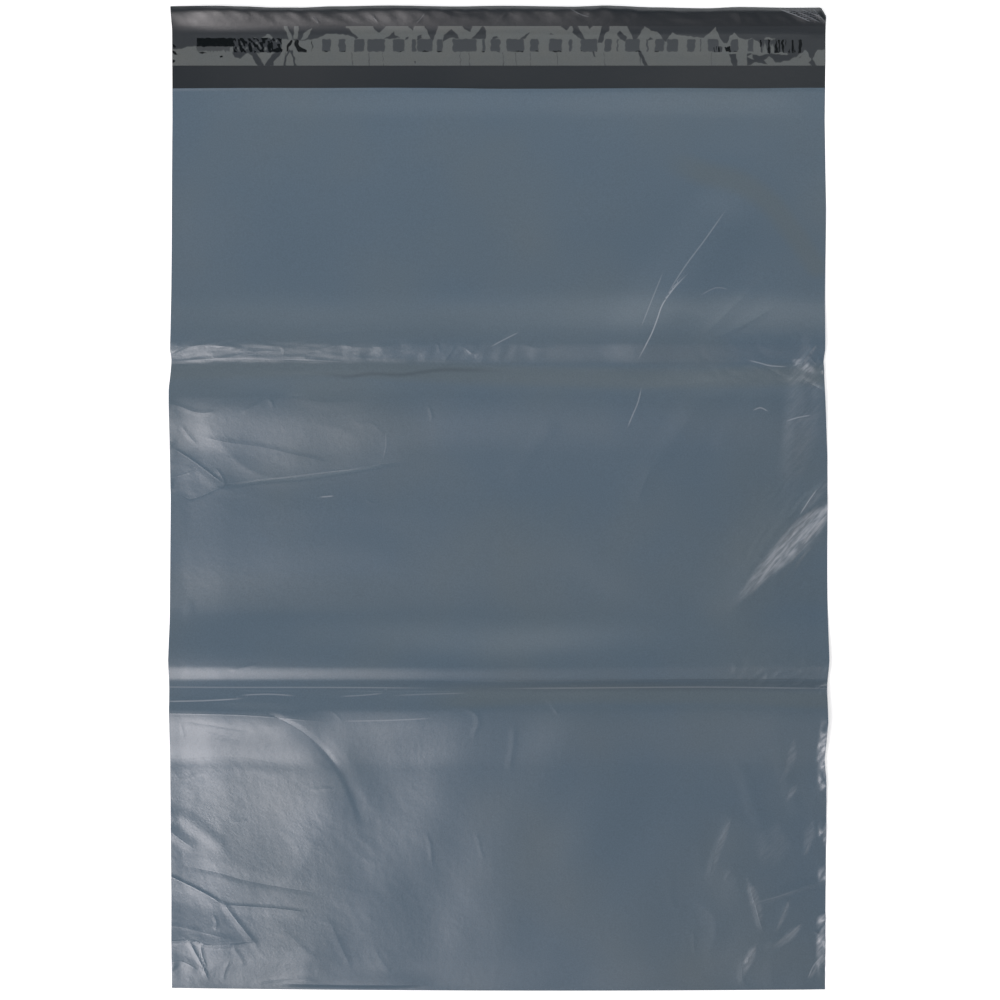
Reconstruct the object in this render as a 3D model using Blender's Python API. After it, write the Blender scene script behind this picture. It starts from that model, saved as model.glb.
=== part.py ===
"""Poly mailer bag: one web of film folded at the bottom and welded down both sides, with a longer back
ply that makes the closing lip. An adhesive strip and its peel-off release liner lie across the lip.
The empty bag lies on its back, front panel up and lip towards +Y, and keeps the two cross creases
that it got when it was packed in thirds.

Metres, +Z up. The origin is under the middle of the bag, on the surface that it lies on.
"""

import math
from collections import namedtuple

import bmesh
import bpy
from mathutils import Vector

# Film web
BAG_WIDTH = 0.400
BODY_LENGTH = 0.551  # bottom fold to the mouth
LIP_LENGTH = 0.049  # mouth to the free edge of the lip
FILM = 0.00006
PLY_GAP = 0.0003  # air between the plies of the empty pocket
WELD_WIDTH = 0.0055
WELD_TAPER = 0.004  # from the weld line to the full ply gap

# Closing lip
LINER_WIDTH = 0.024
LINER_THICKNESS = 0.00005
LINER_SETBACK = 0.0115  # free edge of the lip to the liner
ADHESIVE_WIDTH = 0.0085
ADHESIVE_THICKNESS = 0.00008
ADHESIVE_SETBACK = 0.0077  # upper edge of the liner to the adhesive
ADHESIVE_MARGIN = 0.0145  # side edge of the bag to the adhesive
SEAT_GAP = 0.0003  # between a strip and what it lies on
LIP_CURL = 0.0035
LIP_CURL_LENGTH = 0.030
LIP_WAVE = 0.0010
LIP_WAVE_LENGTH = 0.145
LIP_WAVE_PHASE = 0.7

# Cross creases: each is a valley in the front, with a round hump on either side of it
Side = namedtuple("Side", "rise fall height")
Crease = namedtuple("Crease", "y above below")
LOWER_CREASE = Crease(0.185, Side(0.008, 0.052, 0.0030), Side(0.014, 0.086, 0.0052))
UPPER_CREASE = Crease(0.383, Side(0.011, 0.060, 0.0040), Side(0.015, 0.064, 0.0046))
CREASES = (LOWER_CREASE, UPPER_CREASE)
HUMP_VARIATION = 0.18
HUMP_WAVE_LENGTH = 0.265
HUMP_WAVE_STEP = 2.1  # phase from one crease to the next

# Side edges: a little wider between the creases, nicked at each crease, and lifting in places
SIDE_BULGE = 0.0010
CREASE_NICK = 0.0010
CREASE_NICK_LENGTH = 0.009
EDGE_LIFT = 0.0016
EDGE_LIFT_WIDTH = 0.040
EDGE_LIFT_WAVE_LENGTH = 0.162
EDGE_LIFT_PHASE_LEFT = 0.9
EDGE_LIFT_PHASE_RIGHT = 2.6

# Places where the front ply stands off the back ply: centre line, half width and height
Puff = namedtuple("Puff", "start end half_width height")
PUFFS = (
    Puff((0.176, 0.286), (0.144, 0.238), 0.030, 0.0026),
    Puff((-0.168, 0.322), (-0.092, 0.312), 0.030, 0.0018),
    Puff((0.136, 0.466), (0.087, 0.398), 0.028, 0.0010),
    Puff((-0.168, 0.152), (-0.100, 0.128), 0.038, 0.0022),
    Puff((0.152, 0.072), (0.150, 0.034), 0.032, 0.0022),
    Puff((-0.150, 0.060), (-0.080, 0.048), 0.030, 0.0016),
)
PUFF_EDGE_FADE = 0.020  # from the weld line or the bottom fold to the full height of a puff

# Mesh
COLUMN_STEP = 0.018
ROW_STEP = 0.026
RISE_STEPS = 3
FALL_STEPS = 4
FOLD_STEPS = 4
MERGE = 1e-6
SHARP_ANGLE = math.radians(40)

# Worked out from the sizes above
HALF_WIDTH = BAG_WIDTH / 2
TOTAL_LENGTH = BODY_LENGTH + LIP_LENGTH
WELD_LINE = HALF_WIDTH - WELD_WIDTH
FOLD_RADIUS = FILM + PLY_GAP / 2
LINER_TOP = TOTAL_LENGTH - LINER_SETBACK
LINER_BOTTOM = LINER_TOP - LINER_WIDTH
ADHESIVE_TOP = LINER_TOP - ADHESIVE_SETBACK
ADHESIVE_BOTTOM = ADHESIVE_TOP - ADHESIVE_WIDTH


def clear_scene():
    for obj in list(bpy.data.objects):
        bpy.data.objects.remove(obj, do_unlink=True)


def make_material(name, colour, roughness):
    material = bpy.data.materials.new(name)
    material.use_nodes = True
    shader = material.node_tree.nodes["Principled BSDF"]
    shader.inputs["Base Color"].default_value = (*colour, 1.0)
    shader.inputs["Roughness"].default_value = roughness
    shader.inputs["Metallic"].default_value = 0.0
    material.diffuse_color = (*colour, 1.0)
    return material


def smooth_step(value):
    value = min(max(value, 0.0), 1.0)
    return value * value * (3 - 2 * value)


def hump(distance, side):
    """Height beside a crease: steep at the crease, round on top, then a slow fall to the floor."""
    if distance < side.rise:
        return side.height * math.sin(0.5 * math.pi * distance / side.rise)
    if distance < side.rise + side.fall:
        return side.height * 0.5 * (1 + math.cos(math.pi * (distance - side.rise) / side.fall))
    return 0.0


def crease_height(x, y):
    """Height of both creases' humps. They are a little lower in some places across the bag."""
    height = 0.0
    for number, crease in enumerate(CREASES):
        side = crease.above if y > crease.y else crease.below
        wave = math.sin(2 * math.pi * x / HUMP_WAVE_LENGTH + HUMP_WAVE_STEP * number)
        height += hump(abs(y - crease.y), side) * (1 - HUMP_VARIATION * (1 + wave) / 2)
    return height


def edge_height(x, y):
    """The welded side edges lift from the floor in short waves, out of step left and right."""
    across = smooth_step((abs(x) - HALF_WIDTH + EDGE_LIFT_WIDTH) / EDGE_LIFT_WIDTH)
    phase = EDGE_LIFT_PHASE_LEFT if x < 0 else EDGE_LIFT_PHASE_RIGHT
    wave = math.sin(2 * math.pi * y / EDGE_LIFT_WAVE_LENGTH + phase)
    return EDGE_LIFT * across * max(wave, 0.0)


def lip_height(x, y):
    """The free edge of the lip curls up a little, in long waves."""
    along = smooth_step((y - TOTAL_LENGTH + LIP_CURL_LENGTH) / LIP_CURL_LENGTH)
    wave = LIP_WAVE * math.sin(2 * math.pi * x / LIP_WAVE_LENGTH + LIP_WAVE_PHASE)
    return along * (LIP_CURL + wave)


def floor_height(x, y):
    """Height of the underside of the back ply. It is zero wherever the bag lies on the floor."""
    return crease_height(x, y) + edge_height(x, y) + lip_height(x, y)


def distance_to_segment(point, start, end):
    along = end - start
    share = (point - start).dot(along) / along.length_squared
    return (point - start - along * min(max(share, 0.0), 1.0)).length


def puff_height(x, y):
    """How far the front ply stands off the back ply. It is zero at the welds and at the fold."""
    height = 0.0
    for puff in PUFFS:
        distance = distance_to_segment(Vector((x, y)), Vector(puff.start), Vector(puff.end))
        if distance < puff.half_width:
            height += puff.height * math.cos(0.5 * math.pi * distance / puff.half_width) ** 2
    from_weld = smooth_step((WELD_LINE - abs(x)) / PUFF_EDGE_FADE)
    from_fold = smooth_step(y / PUFF_EDGE_FADE)
    return height * from_weld * from_fold


def pocket_gap(x):
    """Air between the plies: none in the side welds, then the full gap a short way in."""
    return PLY_GAP * smooth_step((WELD_LINE - abs(x)) / WELD_TAPER)


def sideways(x, y):
    """Moves a point with the side edge: out between the creases, in at each crease's nick."""
    middle = (LOWER_CREASE.y + UPPER_CREASE.y) / 2
    shift = SIDE_BULGE * smooth_step(1 - abs(y - middle) / BODY_LENGTH)
    for crease in CREASES:
        shift -= CREASE_NICK * smooth_step(1 - abs(y - crease.y) / CREASE_NICK_LENGTH)
    return x * (1 + shift / HALF_WIDTH)


def placed(x, y, z):
    """A point of the bag in the object's frame, whose origin is under the middle of the length."""
    return Vector((sideways(x, y), y - TOTAL_LENGTH / 2, z))


def steps_between(low, high, step):
    """Stations from low up to high, both included, no further apart than step."""
    count = max(1, math.ceil((high - low) / step))
    return [low + (high - low) * k / count for k in range(count + 1)]


def columns_within(half):
    """Stations across the bag between -half and +half. All pieces share them, so layers run parallel."""
    inner = WELD_LINE - WELD_TAPER
    shared = steps_between(-inner, inner, COLUMN_STEP)
    shared = [-HALF_WIDTH, -WELD_LINE] + shared + [WELD_LINE, HALF_WIDTH]
    return [-half] + [x for x in shared if abs(x) < half - MERGE] + [half]


def crease_stations(crease):
    """Stations across one crease, close together where the film bends."""
    found = [crease.y]
    for side, way in ((crease.above, 1), (crease.below, -1)):
        for k in range(1, RISE_STEPS + 1):
            found.append(crease.y + way * side.rise * k / RISE_STEPS)
        for k in range(1, FALL_STEPS + 1):
            found.append(crease.y + way * (side.rise + side.fall * k / FALL_STEPS))
    return sorted(found)


def body_stations():
    """Stations along the body, from the bottom fold to the mouth."""
    lower = crease_stations(LOWER_CREASE)
    upper = crease_stations(UPPER_CREASE)
    found = steps_between(FOLD_RADIUS, lower[0], ROW_STEP)
    found += lower[1:]
    found += steps_between(lower[-1], upper[0], ROW_STEP)[1:]
    found += upper[1:]
    found += steps_between(upper[-1], BODY_LENGTH, ROW_STEP)[1:]
    return found


def lip_stations(low, high):
    """Stations along the lip between two of its lines. The film and both strips share them."""
    lines = [BODY_LENGTH, LINER_BOTTOM, ADHESIVE_BOTTOM, ADHESIVE_TOP, LINER_TOP, TOTAL_LENGTH]
    return [y for y in lines if low - MERGE < y < high + MERGE]


def set_grid(bm, columns, rows):
    """A flat grid of quads. Each vertex remembers its column and row."""
    across = len(columns) - 1
    along = len(rows) - 1
    bmesh.ops.create_grid(bm, x_segments=across, y_segments=along, size=1.0)
    column_of = bm.verts.layers.int.new("column")
    row_of = bm.verts.layers.int.new("row")
    for vert in bm.verts:
        vert[column_of] = round((vert.co.x + 1) / 2 * across)
        vert[row_of] = round((vert.co.y + 1) / 2 * along)
    return column_of, row_of


def thicken(bm):
    """Gives the flat grid a second layer and closes it round its rim."""
    layer_of = bm.verts.layers.int.new("layer")
    grown = bmesh.ops.extrude_face_region(bm, geom=bm.faces[:])
    for item in grown["geom"]:
        if isinstance(item, bmesh.types.BMVert):
            item[layer_of] = 1
    return layer_of


def make_object(name, bm, materials, collection):
    bmesh.ops.recalc_face_normals(bm, faces=bm.faces)
    mesh = bpy.data.meshes.new(name)
    bm.to_mesh(mesh)
    bm.free()
    mesh.shade_smooth()
    mesh.set_sharp_from_angle(angle=SHARP_ANGLE)
    for material in materials:
        mesh.materials.append(material)
    obj = bpy.data.objects.new(name, mesh)
    collection.objects.link(obj)
    return obj


def web_stations():
    """Stations along the web: down the front ply, round the bottom fold, up the back ply and the lip."""
    body = body_stations()
    stations = [("front", y) for y in reversed(body)]
    stations += [("fold", math.pi * k / FOLD_STEPS) for k in range(1, FOLD_STEPS)]
    stations += [("back", y) for y in body]
    stations += [("lip", y) for y in lip_stations(BODY_LENGTH, TOTAL_LENGTH)[1:]]
    return stations


def web_point(x, station, inside):
    """A point on the web's grey outside or on its black inside, after folding."""
    place, value = station
    gap = pocket_gap(x)
    if place == "fold":
        radius = gap / 2 + (0.0 if inside else FILM)
        middle = floor_height(x, FOLD_RADIUS) + FILM + gap / 2
        return placed(x, FOLD_RADIUS - radius * math.sin(value), middle + radius * math.cos(value))
    z = floor_height(x, value)
    if place == "front":
        z += FILM + gap + puff_height(x, value) + (0.0 if inside else FILM)
    else:
        z += FILM if inside else 0.0
    return placed(x, value, z)


def fuse_side_welds(bm, column_of, row_of, layer_of, columns, stations):
    """Takes away the inside faces in the two weld strips, and merges the plies along what is left."""
    mouth = max(row for row, station in enumerate(stations) if station[0] == "back")
    last = len(columns) - 1
    sealed = []
    for face in bm.faces:
        inside = all(vert[layer_of] == 1 for vert in face.verts)
        in_strip = all(vert[column_of] <= 1 or vert[column_of] >= last - 1 for vert in face.verts)
        below_mouth = all(vert[row_of] <= mouth for vert in face.verts)
        if inside and in_strip and below_mouth:
            sealed.append(face)
    bmesh.ops.delete(bm, geom=sealed, context="FACES")
    seam = []
    for vert in bm.verts:
        if vert[layer_of] == 1 and (vert[column_of] <= 1 or vert[column_of] >= last - 1):
            seam.append(vert)
    bmesh.ops.remove_doubles(bm, verts=seam, dist=MERGE)


def make_film(collection):
    """The bag: one web of film, grey outside and black inside, folded once and welded down its sides."""
    columns = columns_within(HALF_WIDTH)
    stations = web_stations()
    fold = len(body_stations())
    bm = bmesh.new()
    column_of, row_of = set_grid(bm, columns, stations)
    # The two plies face each other, so their quads are cut along opposite diagonals of the flat web.
    front = [face for face in bm.faces if min(vert[row_of] for vert in face.verts) < fold]
    back = [face for face in bm.faces if min(vert[row_of] for vert in face.verts) >= fold]
    bmesh.ops.triangulate(bm, faces=front, quad_method="FIXED")
    bmesh.ops.triangulate(bm, faces=back, quad_method="ALTERNATE")
    layer_of = thicken(bm)
    for vert in bm.verts:
        x = columns[vert[column_of]]
        vert.co = web_point(x, stations[vert[row_of]], vert[layer_of] == 1)
    fuse_side_welds(bm, column_of, row_of, layer_of, columns, stations)
    for face in bm.faces:
        if all(vert[layer_of] == 1 for vert in face.verts):
            face.material_index = 1
    grey = make_material("film_grey_outside", (0.093, 0.125, 0.159), 0.38)
    black = make_material("film_black_inside", (0.020, 0.021, 0.024), 0.34)
    return make_object("bag_film", bm, (grey, black), collection)


def make_strip(name, half, rows, height, thickness, material, collection):
    """A thin strip across the lip, between its two layers. height gives its underside over the film."""
    columns = columns_within(half)
    bm = bmesh.new()
    column_of, row_of = set_grid(bm, columns, rows)
    bmesh.ops.triangulate(bm, faces=bm.faces[:], quad_method="ALTERNATE")
    layer_of = thicken(bm)
    for vert in bm.verts:
        x = columns[vert[column_of]]
        y = rows[vert[row_of]]
        z = floor_height(x, y) + FILM + height(y) + thickness * vert[layer_of]
        vert.co = placed(x, y, z)
    return make_object(name, bm, (material,), collection)


def make_adhesive(collection):
    """The band of hot-melt adhesive across the lip, short of both side edges."""
    rows = lip_stations(ADHESIVE_BOTTOM, ADHESIVE_TOP)
    half = HALF_WIDTH - ADHESIVE_MARGIN
    dark = make_material("hot_melt_adhesive", (0.012, 0.013, 0.014), 0.25)
    return make_strip(
        "adhesive_strip", half, rows, lambda y: SEAT_GAP, ADHESIVE_THICKNESS, dark, collection
    )


def make_liner(collection):
    """The peel-off release liner: it lies over the adhesive and comes down to the film beside it."""
    rows = lip_stations(LINER_BOTTOM, LINER_TOP)
    over_adhesive = SEAT_GAP + ADHESIVE_THICKNESS + SEAT_GAP

    def liner_height(y):
        on_adhesive = ADHESIVE_BOTTOM - MERGE < y < ADHESIVE_TOP + MERGE
        return over_adhesive if on_adhesive else SEAT_GAP

    pale = make_material("release_liner_film", (0.107, 0.120, 0.122), 0.30)
    return make_strip(
        "release_liner", HALF_WIDTH, rows, liner_height, LINER_THICKNESS, pale, collection
    )


def main():
    clear_scene()
    collection = bpy.data.collections.new("poly_mailer_bag")
    bpy.context.scene.collection.children.link(collection)
    make_film(collection)
    make_adhesive(collection)
    make_liner(collection)


main()
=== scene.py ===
# %% [markdown]
# # A poly mailer bag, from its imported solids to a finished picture
#
# The bag is one web of polyethylene film, grey outside and black inside. It is folded at the bottom,
# welded down both sides, and its back ply runs on past the mouth as the closing lip. A band of adhesive
# crosses the lip under a thin release liner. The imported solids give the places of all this. The cells
# below rebuild the film finely enough to carry its wrinkles, and give each surface its finish.

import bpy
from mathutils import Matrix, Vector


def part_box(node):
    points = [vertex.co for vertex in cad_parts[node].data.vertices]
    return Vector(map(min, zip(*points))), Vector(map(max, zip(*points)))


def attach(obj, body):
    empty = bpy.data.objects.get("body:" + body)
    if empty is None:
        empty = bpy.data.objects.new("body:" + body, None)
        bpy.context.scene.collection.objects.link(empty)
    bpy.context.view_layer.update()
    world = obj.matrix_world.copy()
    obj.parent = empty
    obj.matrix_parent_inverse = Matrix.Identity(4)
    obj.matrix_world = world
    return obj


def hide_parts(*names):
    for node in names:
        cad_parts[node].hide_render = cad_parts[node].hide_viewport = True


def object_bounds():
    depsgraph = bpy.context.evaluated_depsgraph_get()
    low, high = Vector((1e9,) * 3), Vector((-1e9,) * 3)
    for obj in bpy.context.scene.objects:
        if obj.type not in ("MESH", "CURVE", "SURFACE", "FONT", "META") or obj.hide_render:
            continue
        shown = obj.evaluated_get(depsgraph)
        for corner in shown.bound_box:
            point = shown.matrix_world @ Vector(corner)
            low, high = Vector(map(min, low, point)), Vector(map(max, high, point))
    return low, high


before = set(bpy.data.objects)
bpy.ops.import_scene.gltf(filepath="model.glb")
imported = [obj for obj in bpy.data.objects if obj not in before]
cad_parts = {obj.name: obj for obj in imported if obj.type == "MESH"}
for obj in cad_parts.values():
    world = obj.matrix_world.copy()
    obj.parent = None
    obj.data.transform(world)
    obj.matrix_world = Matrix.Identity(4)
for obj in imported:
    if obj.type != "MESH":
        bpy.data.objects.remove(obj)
cad_low, cad_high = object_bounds()
print("solids:", sorted(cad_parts))

# %% Tools
import math
from collections import namedtuple

import bmesh
import bpy
import numpy as np
from mathutils import Vector

MM = 0.001

# %% [markdown]
# ## Sizes
#
# Places along the bag are measured from the bottom fold, and places across it from the middle. The
# outline, the liner and the adhesive are read from the solids. The film's thickness, the side welds
# and the two cross creases repeat the construction's own sizes, because a box can't tell them.

# %% Sizes read from the solids
film_low, film_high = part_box("bag_film")
liner_low, liner_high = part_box("release_liner")
glue_low, glue_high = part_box("adhesive_strip")

BOTTOM = film_low.y
LENGTH = film_high.y - film_low.y
SIDE_BULGE = 1.0 * MM
HALF_WIDTH = (film_high.x - film_low.x) / 2 - SIDE_BULGE
LINER_FROM = liner_low.y - BOTTOM
LINER_TO = liner_high.y - BOTTOM
GLUE_FROM = glue_low.y - BOTTOM
GLUE_TO = glue_high.y - BOTTOM
GLUE_HALF = glue_high.x
print(f"bag {2 * HALF_WIDTH / MM:.0f} by {LENGTH / MM:.0f} mm")
print(f"liner from {LINER_FROM / MM:.1f} to {LINER_TO / MM:.1f} mm above the bottom fold")

# %% Sizes of the construction
BODY = 0.551
FILM = 0.06 * MM
PLY_GAP = 0.12 * MM
SEAT_GAP = 0.05 * MM
WELD_WIDTH = 5.5 * MM
WELD_TAPER = 8.0 * MM
WELD_LINE = HALF_WIDTH - WELD_WIDTH
FOLD_RADIUS = FILM + PLY_GAP / 2
GLUE_THICKNESS = 0.08 * MM
LINER_THICKNESS = 0.05 * MM

Side = namedtuple("Side", "rise fall height")
Crease = namedtuple("Crease", "s valley above below")
LOWER_CREASE = Crease(0.1895, 0.0030, Side(0.0080, 0.052, 0.0043), Side(0.0185, 0.110, 0.0056))
UPPER_CREASE = Crease(0.3826, 0.0025, Side(0.0120, 0.060, 0.0045), Side(0.0210, 0.064, 0.0046))
CREASES = (LOWER_CREASE, UPPER_CREASE)
print("creases at", [f"{crease.s / MM:.0f} mm" for crease in CREASES])

# %% [markdown]
# ## Reading a place in the photograph
#
# A wrinkle is placed by the pixel where the photograph shows it. One helper turns such a pixel into a
# place on the flat bag, so that each list further down can be read beside the picture.

# %% From a pixel of the photograph to a place on the bag, and back
PIXEL = 0.6107 * MM
MIDDLE_PX = 498
FOLD_PX = 990


def at(px, py):
    return (px - MIDDLE_PX) * PIXEL, (FOLD_PX - py) * PIXEL


def path(*pixels):
    return [at(px, py) for px, py in pixels]


def pixel_across(x):
    return x / PIXEL + MIDDLE_PX


def pixel_down(s):
    return FOLD_PX - s / PIXEL


print("the mouth is at pixel", round(pixel_down(BODY)))


# %% [markdown]
# ## The shape in which the bag lies
#
# Film has no stiffness to speak of, so an empty bag lies flat apart from what packing left in it: two
# sharp cross creases with a soft hump on either side, a lip that curls, side edges that lift. These are
# the same formulas as the solids have, written for whole arrays of points at once.

# %% Smooth steps and humps
def smooth_step(value):
    value = np.clip(value, 0.0, 1.0)
    return value * value * (3 - 2 * value)


STEEP_SHARE = 0.6
STEEP_LENGTH = 0.035


def hump(distance, side, valley):
    """Climbs from the valley, and comes down partly at once and partly over the hump's whole length."""
    climb = np.clip(distance / side.rise, 0, 1)
    climb = (climb + smooth_step(climb)) / 2
    beyond = distance - side.rise
    steep = np.clip(beyond / STEEP_LENGTH, 0, 1)
    slow = np.clip(beyond / side.fall, 0, 1)
    down = STEEP_SHARE * (1 + np.cos(math.pi * steep)) + (1 - STEEP_SHARE) * (1 + np.cos(math.pi * slow))
    return np.where(beyond < 0, valley + (side.height - valley) * climb, side.height * 0.5 * down)


def eased(place, knots):
    """Goes smoothly from each knot's level to the next one's. A knot is a place and a level."""
    level = np.full(np.shape(place), float(knots[0][1]))
    for (start, low), (end, high) in zip(knots, knots[1:]):
        level = level + (high - low) * smooth_step((place - start) / (end - start))
    return level


# %% Relief that both plies share
HUMP_VARIATION = 0.18
HUMP_WAVE_LENGTH = 0.265
HUMP_WAVE_STEP = 2.1
EDGE_LIFT = 0.6 * MM
EDGE_LIFT_WIDTH = 0.040
EDGE_LIFT_WAVE_LENGTH = 0.162
EDGE_LIFT_PHASES = (0.9, 2.6)
LIP_CURL_LENGTH = 17.0 * MM
LIP_CREST = (
    (135, 0.6), (226, 4.7), (290, 3.9), (345, 3.3), (420, 4.5),
    (500, 3.8), (600, 4.6), (690, 3.0), (780, 2.8), (835, 3.4),
)
LIP_ROLL = 0.6 * MM
LIP_ROLL_LENGTH = 0.0035


def crease_relief(x, s):
    height = np.zeros_like(x)
    for number, crease in enumerate(CREASES):
        wave = np.sin(2 * math.pi * x / HUMP_WAVE_LENGTH + HUMP_WAVE_STEP * number)
        distance = np.abs(s - crease.s)
        above = hump(distance, crease.above, crease.valley)
        shape = np.where(s > crease.s, above, hump(distance, crease.below, crease.valley))
        height += shape * (1 - HUMP_VARIATION * (1 + wave) / 2)
    return height


def edge_relief(x, s):
    across = smooth_step((np.abs(x) - HALF_WIDTH + EDGE_LIFT_WIDTH) / EDGE_LIFT_WIDTH)
    phase = np.where(x < 0, EDGE_LIFT_PHASES[0], EDGE_LIFT_PHASES[1])
    wave = np.sin(2 * math.pi * s / EDGE_LIFT_WAVE_LENGTH + phase)
    return EDGE_LIFT * across * np.maximum(wave, 0.0)


def lip_relief(x, s):
    along = smooth_step((s - LENGTH + LIP_CURL_LENGTH) / LIP_CURL_LENGTH)
    crest = eased(pixel_across(x), LIP_CREST) * MM
    roll = LIP_ROLL * np.clip((s - LENGTH + LIP_ROLL_LENGTH) / LIP_ROLL_LENGTH, 0, 1) ** 2
    return along * crest - roll


def shared_relief(x, s):
    return crease_relief(x, s) + edge_relief(x, s) + lip_relief(x, s)


print(f"the lip curls up by {max(level for _, level in LIP_CREST):.1f} mm at most")


# %% [markdown]
# ## Wrinkles
#
# A wrinkle in film is a pleat: a line with one steep side and one gentle side. Light catches the steep
# side, so a few dozen pleats, each with its own two widths, give the streaks and facets of the real
# bag. A pleat is measured by its signed distance from a curve through a few points.

# %% A curve through a few points, and the distance from it
def smooth_line(points, steps=5):
    """More points on a Catmull-Rom curve through the given ones."""
    if len(points) < 3:
        return points
    ends = [points[0], *points, points[-1]]
    found = []
    for a, b, c, d in zip(ends, ends[1:], ends[2:], ends[3:]):
        for k in range(steps):
            t = k / steps
            weights = (
                -0.5 * t + t * t - 0.5 * t**3,
                1 - 2.5 * t * t + 1.5 * t**3,
                0.5 * t + 2 * t * t - 1.5 * t**3,
                -0.5 * t * t + 0.5 * t**3,
            )
            found.append(tuple(sum(w * p[i] for w, p in zip(weights, (a, b, c, d))) for i in (0, 1)))
    return found + [points[-1]]


FAR = 9.0


def line_distance(x, s, points):
    """Signed distance from the line, positive on the left of its way, and the share of the way along."""
    lengths = [math.dist(a, b) for a, b in zip(points, points[1:])]
    nearest = np.full(x.shape, FAR)
    signed = np.full(x.shape, FAR)
    along = np.zeros(x.shape)
    run = 0.0
    for (ax, ay), (bx, by), length in zip(points, points[1:], lengths):
        dx = bx - ax
        dy = by - ay
        share = np.clip(((x - ax) * dx + (s - ay) * dy) / length**2, 0, 1)
        distance = np.hypot(x - ax - share * dx, s - ay - share * dy)
        side = np.where(dx * (s - ay) - dy * (x - ax) < 0, -1.0, 1.0)
        nearer = distance < nearest
        nearest = np.where(nearer, distance, nearest)
        signed = np.where(nearer, side * distance, signed)
        along = np.where(nearer, (run + share * length) / sum(lengths), along)
        run += length
    return signed, along


# %% Which points are near a line, and how a line fades at its ends
END_FADE = 0.22


def beside(x, s, line, reach):
    """True for the points in the box around the line, with the reach to spare."""
    xs = [point[0] for point in line]
    ys = [point[1] for point in line]
    across = (x > min(xs) - reach) & (x < max(xs) + reach)
    return across & (s > min(ys) - reach) & (s < max(ys) + reach)


def end_fade(along):
    return smooth_step(along / END_FADE) * smooth_step((1 - along) / END_FADE)


# %% One pleat: its line, height, widths to the left and right of its way, and how sharp it is
Pleat = namedtuple("Pleat", "line height left right sharp", defaults=(0.4,))
PLEAT_SHARE = 0.5


def pleat_relief(x, s, pleat):
    """Height and widths are in millimetres. Only PLEAT_SHARE of the height goes into the shape."""
    height = np.zeros_like(x)
    line = smooth_line(path(*pleat.line))
    near = beside(x, s, line, max(pleat.left, pleat.right) * MM)
    if not near.any():
        return height
    signed, along = line_distance(x[near], s[near], line)
    width = np.where(signed > 0, pleat.left, pleat.right) * MM
    share = np.clip(np.abs(signed) / width, 0, 1)
    shape = pleat.sharp * (1 - share) ** 1.5 + (1 - pleat.sharp) * (1 - smooth_step(share))
    height[near] = PLEAT_SHARE * pleat.height * MM * shape * end_fade(along)
    return height


# %% Pleats along the upper cross crease
UPPER_CREASE_PLEATS = (
    Pleat([(166, 358), (180, 350), (198, 346), (216, 346), (246, 349)], 0.55, 3.0, 1.3),
    Pleat([(160, 361), (200, 360), (240, 357), (290, 357), (330, 359)], 0.36, 1.6, 1.0),
    Pleat([(225, 347), (240, 349), (262, 346), (285, 347)], 0.30, 1.6, 1.2),
    Pleat([(226, 358), (244, 354), (262, 351), (283, 352)], 0.34, 1.6, 1.0),
    Pleat([(232, 362), (262, 359), (300, 362), (345, 361)], 0.30, 1.4, 0.9),
    Pleat([(279, 345), (284, 350), (283, 356)], 0.26, 1.2, 1.2),
    Pleat([(282, 350), (300, 347), (316, 349)], 0.24, 1.4, 1.4),
    Pleat([(312, 351), (340, 346), (365, 348), (404, 345)], 0.28, 2.6, 2.4),
    Pleat([(330, 358), (380, 359), (440, 361), (505, 362)], 0.10, 1.6, 0.9),
    Pleat([(372, 341), (392, 339), (412, 340)], 0.18, 1.5, 1.1),
    Pleat([(378, 346), (383, 351), (379, 358)], 0.10, 1.4, 1.6),
    Pleat([(388, 356), (404, 352), (416, 347)], 0.30, 1.6, 1.3),
    Pleat([(436, 343), (439, 348), (438, 353)], 0.26, 1.0, 1.2),
    Pleat([(456, 344), (452, 351), (443, 363)], 0.34, 1.5, 2.2),
    Pleat(
        [(454, 346), (464, 348), (473, 354), (480, 352), (490, 346), (505, 338), (522, 331)],
        0.24, 1.6, 1.1,
    ),
    Pleat([(486, 351), (479, 355), (474, 358)], 0.22, 1.2, 1.2),
    Pleat([(520, 344), (538, 348), (560, 347)], 0.20, 1.0, 3.0),
    Pleat([(700, 363), (722, 360), (745, 360), (770, 357)], 0.22, 1.6, 1.0),
    Pleat([(748, 361), (765, 364), (786, 366)], 0.26, 1.4, 1.0),
)

# %% Pleats of the shadowed side of the upper crease: steep on their upper side
UPPER_SHADOW_PLEATS = (
    Pleat(
        [(230, 373), (310, 375), (365, 375), (410, 374), (450, 371), (500, 371), (580, 369)],
        0.10, 2.0, 4.0, 0.3,
    ),
    Pleat([(556, 373), (600, 372), (640, 371), (700, 370)], 0.06, 2.0, 5.0),
    Pleat([(620, 392), (690, 384), (740, 380)], 0.07, 3.0, 7.0),
)

# %% [markdown]
# Below the upper crease the hump comes down in facets on the left, with a sharp foot, and in soft
# diagonal folds on the right, where the edge of the bag was bent when it was packed.

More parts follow.
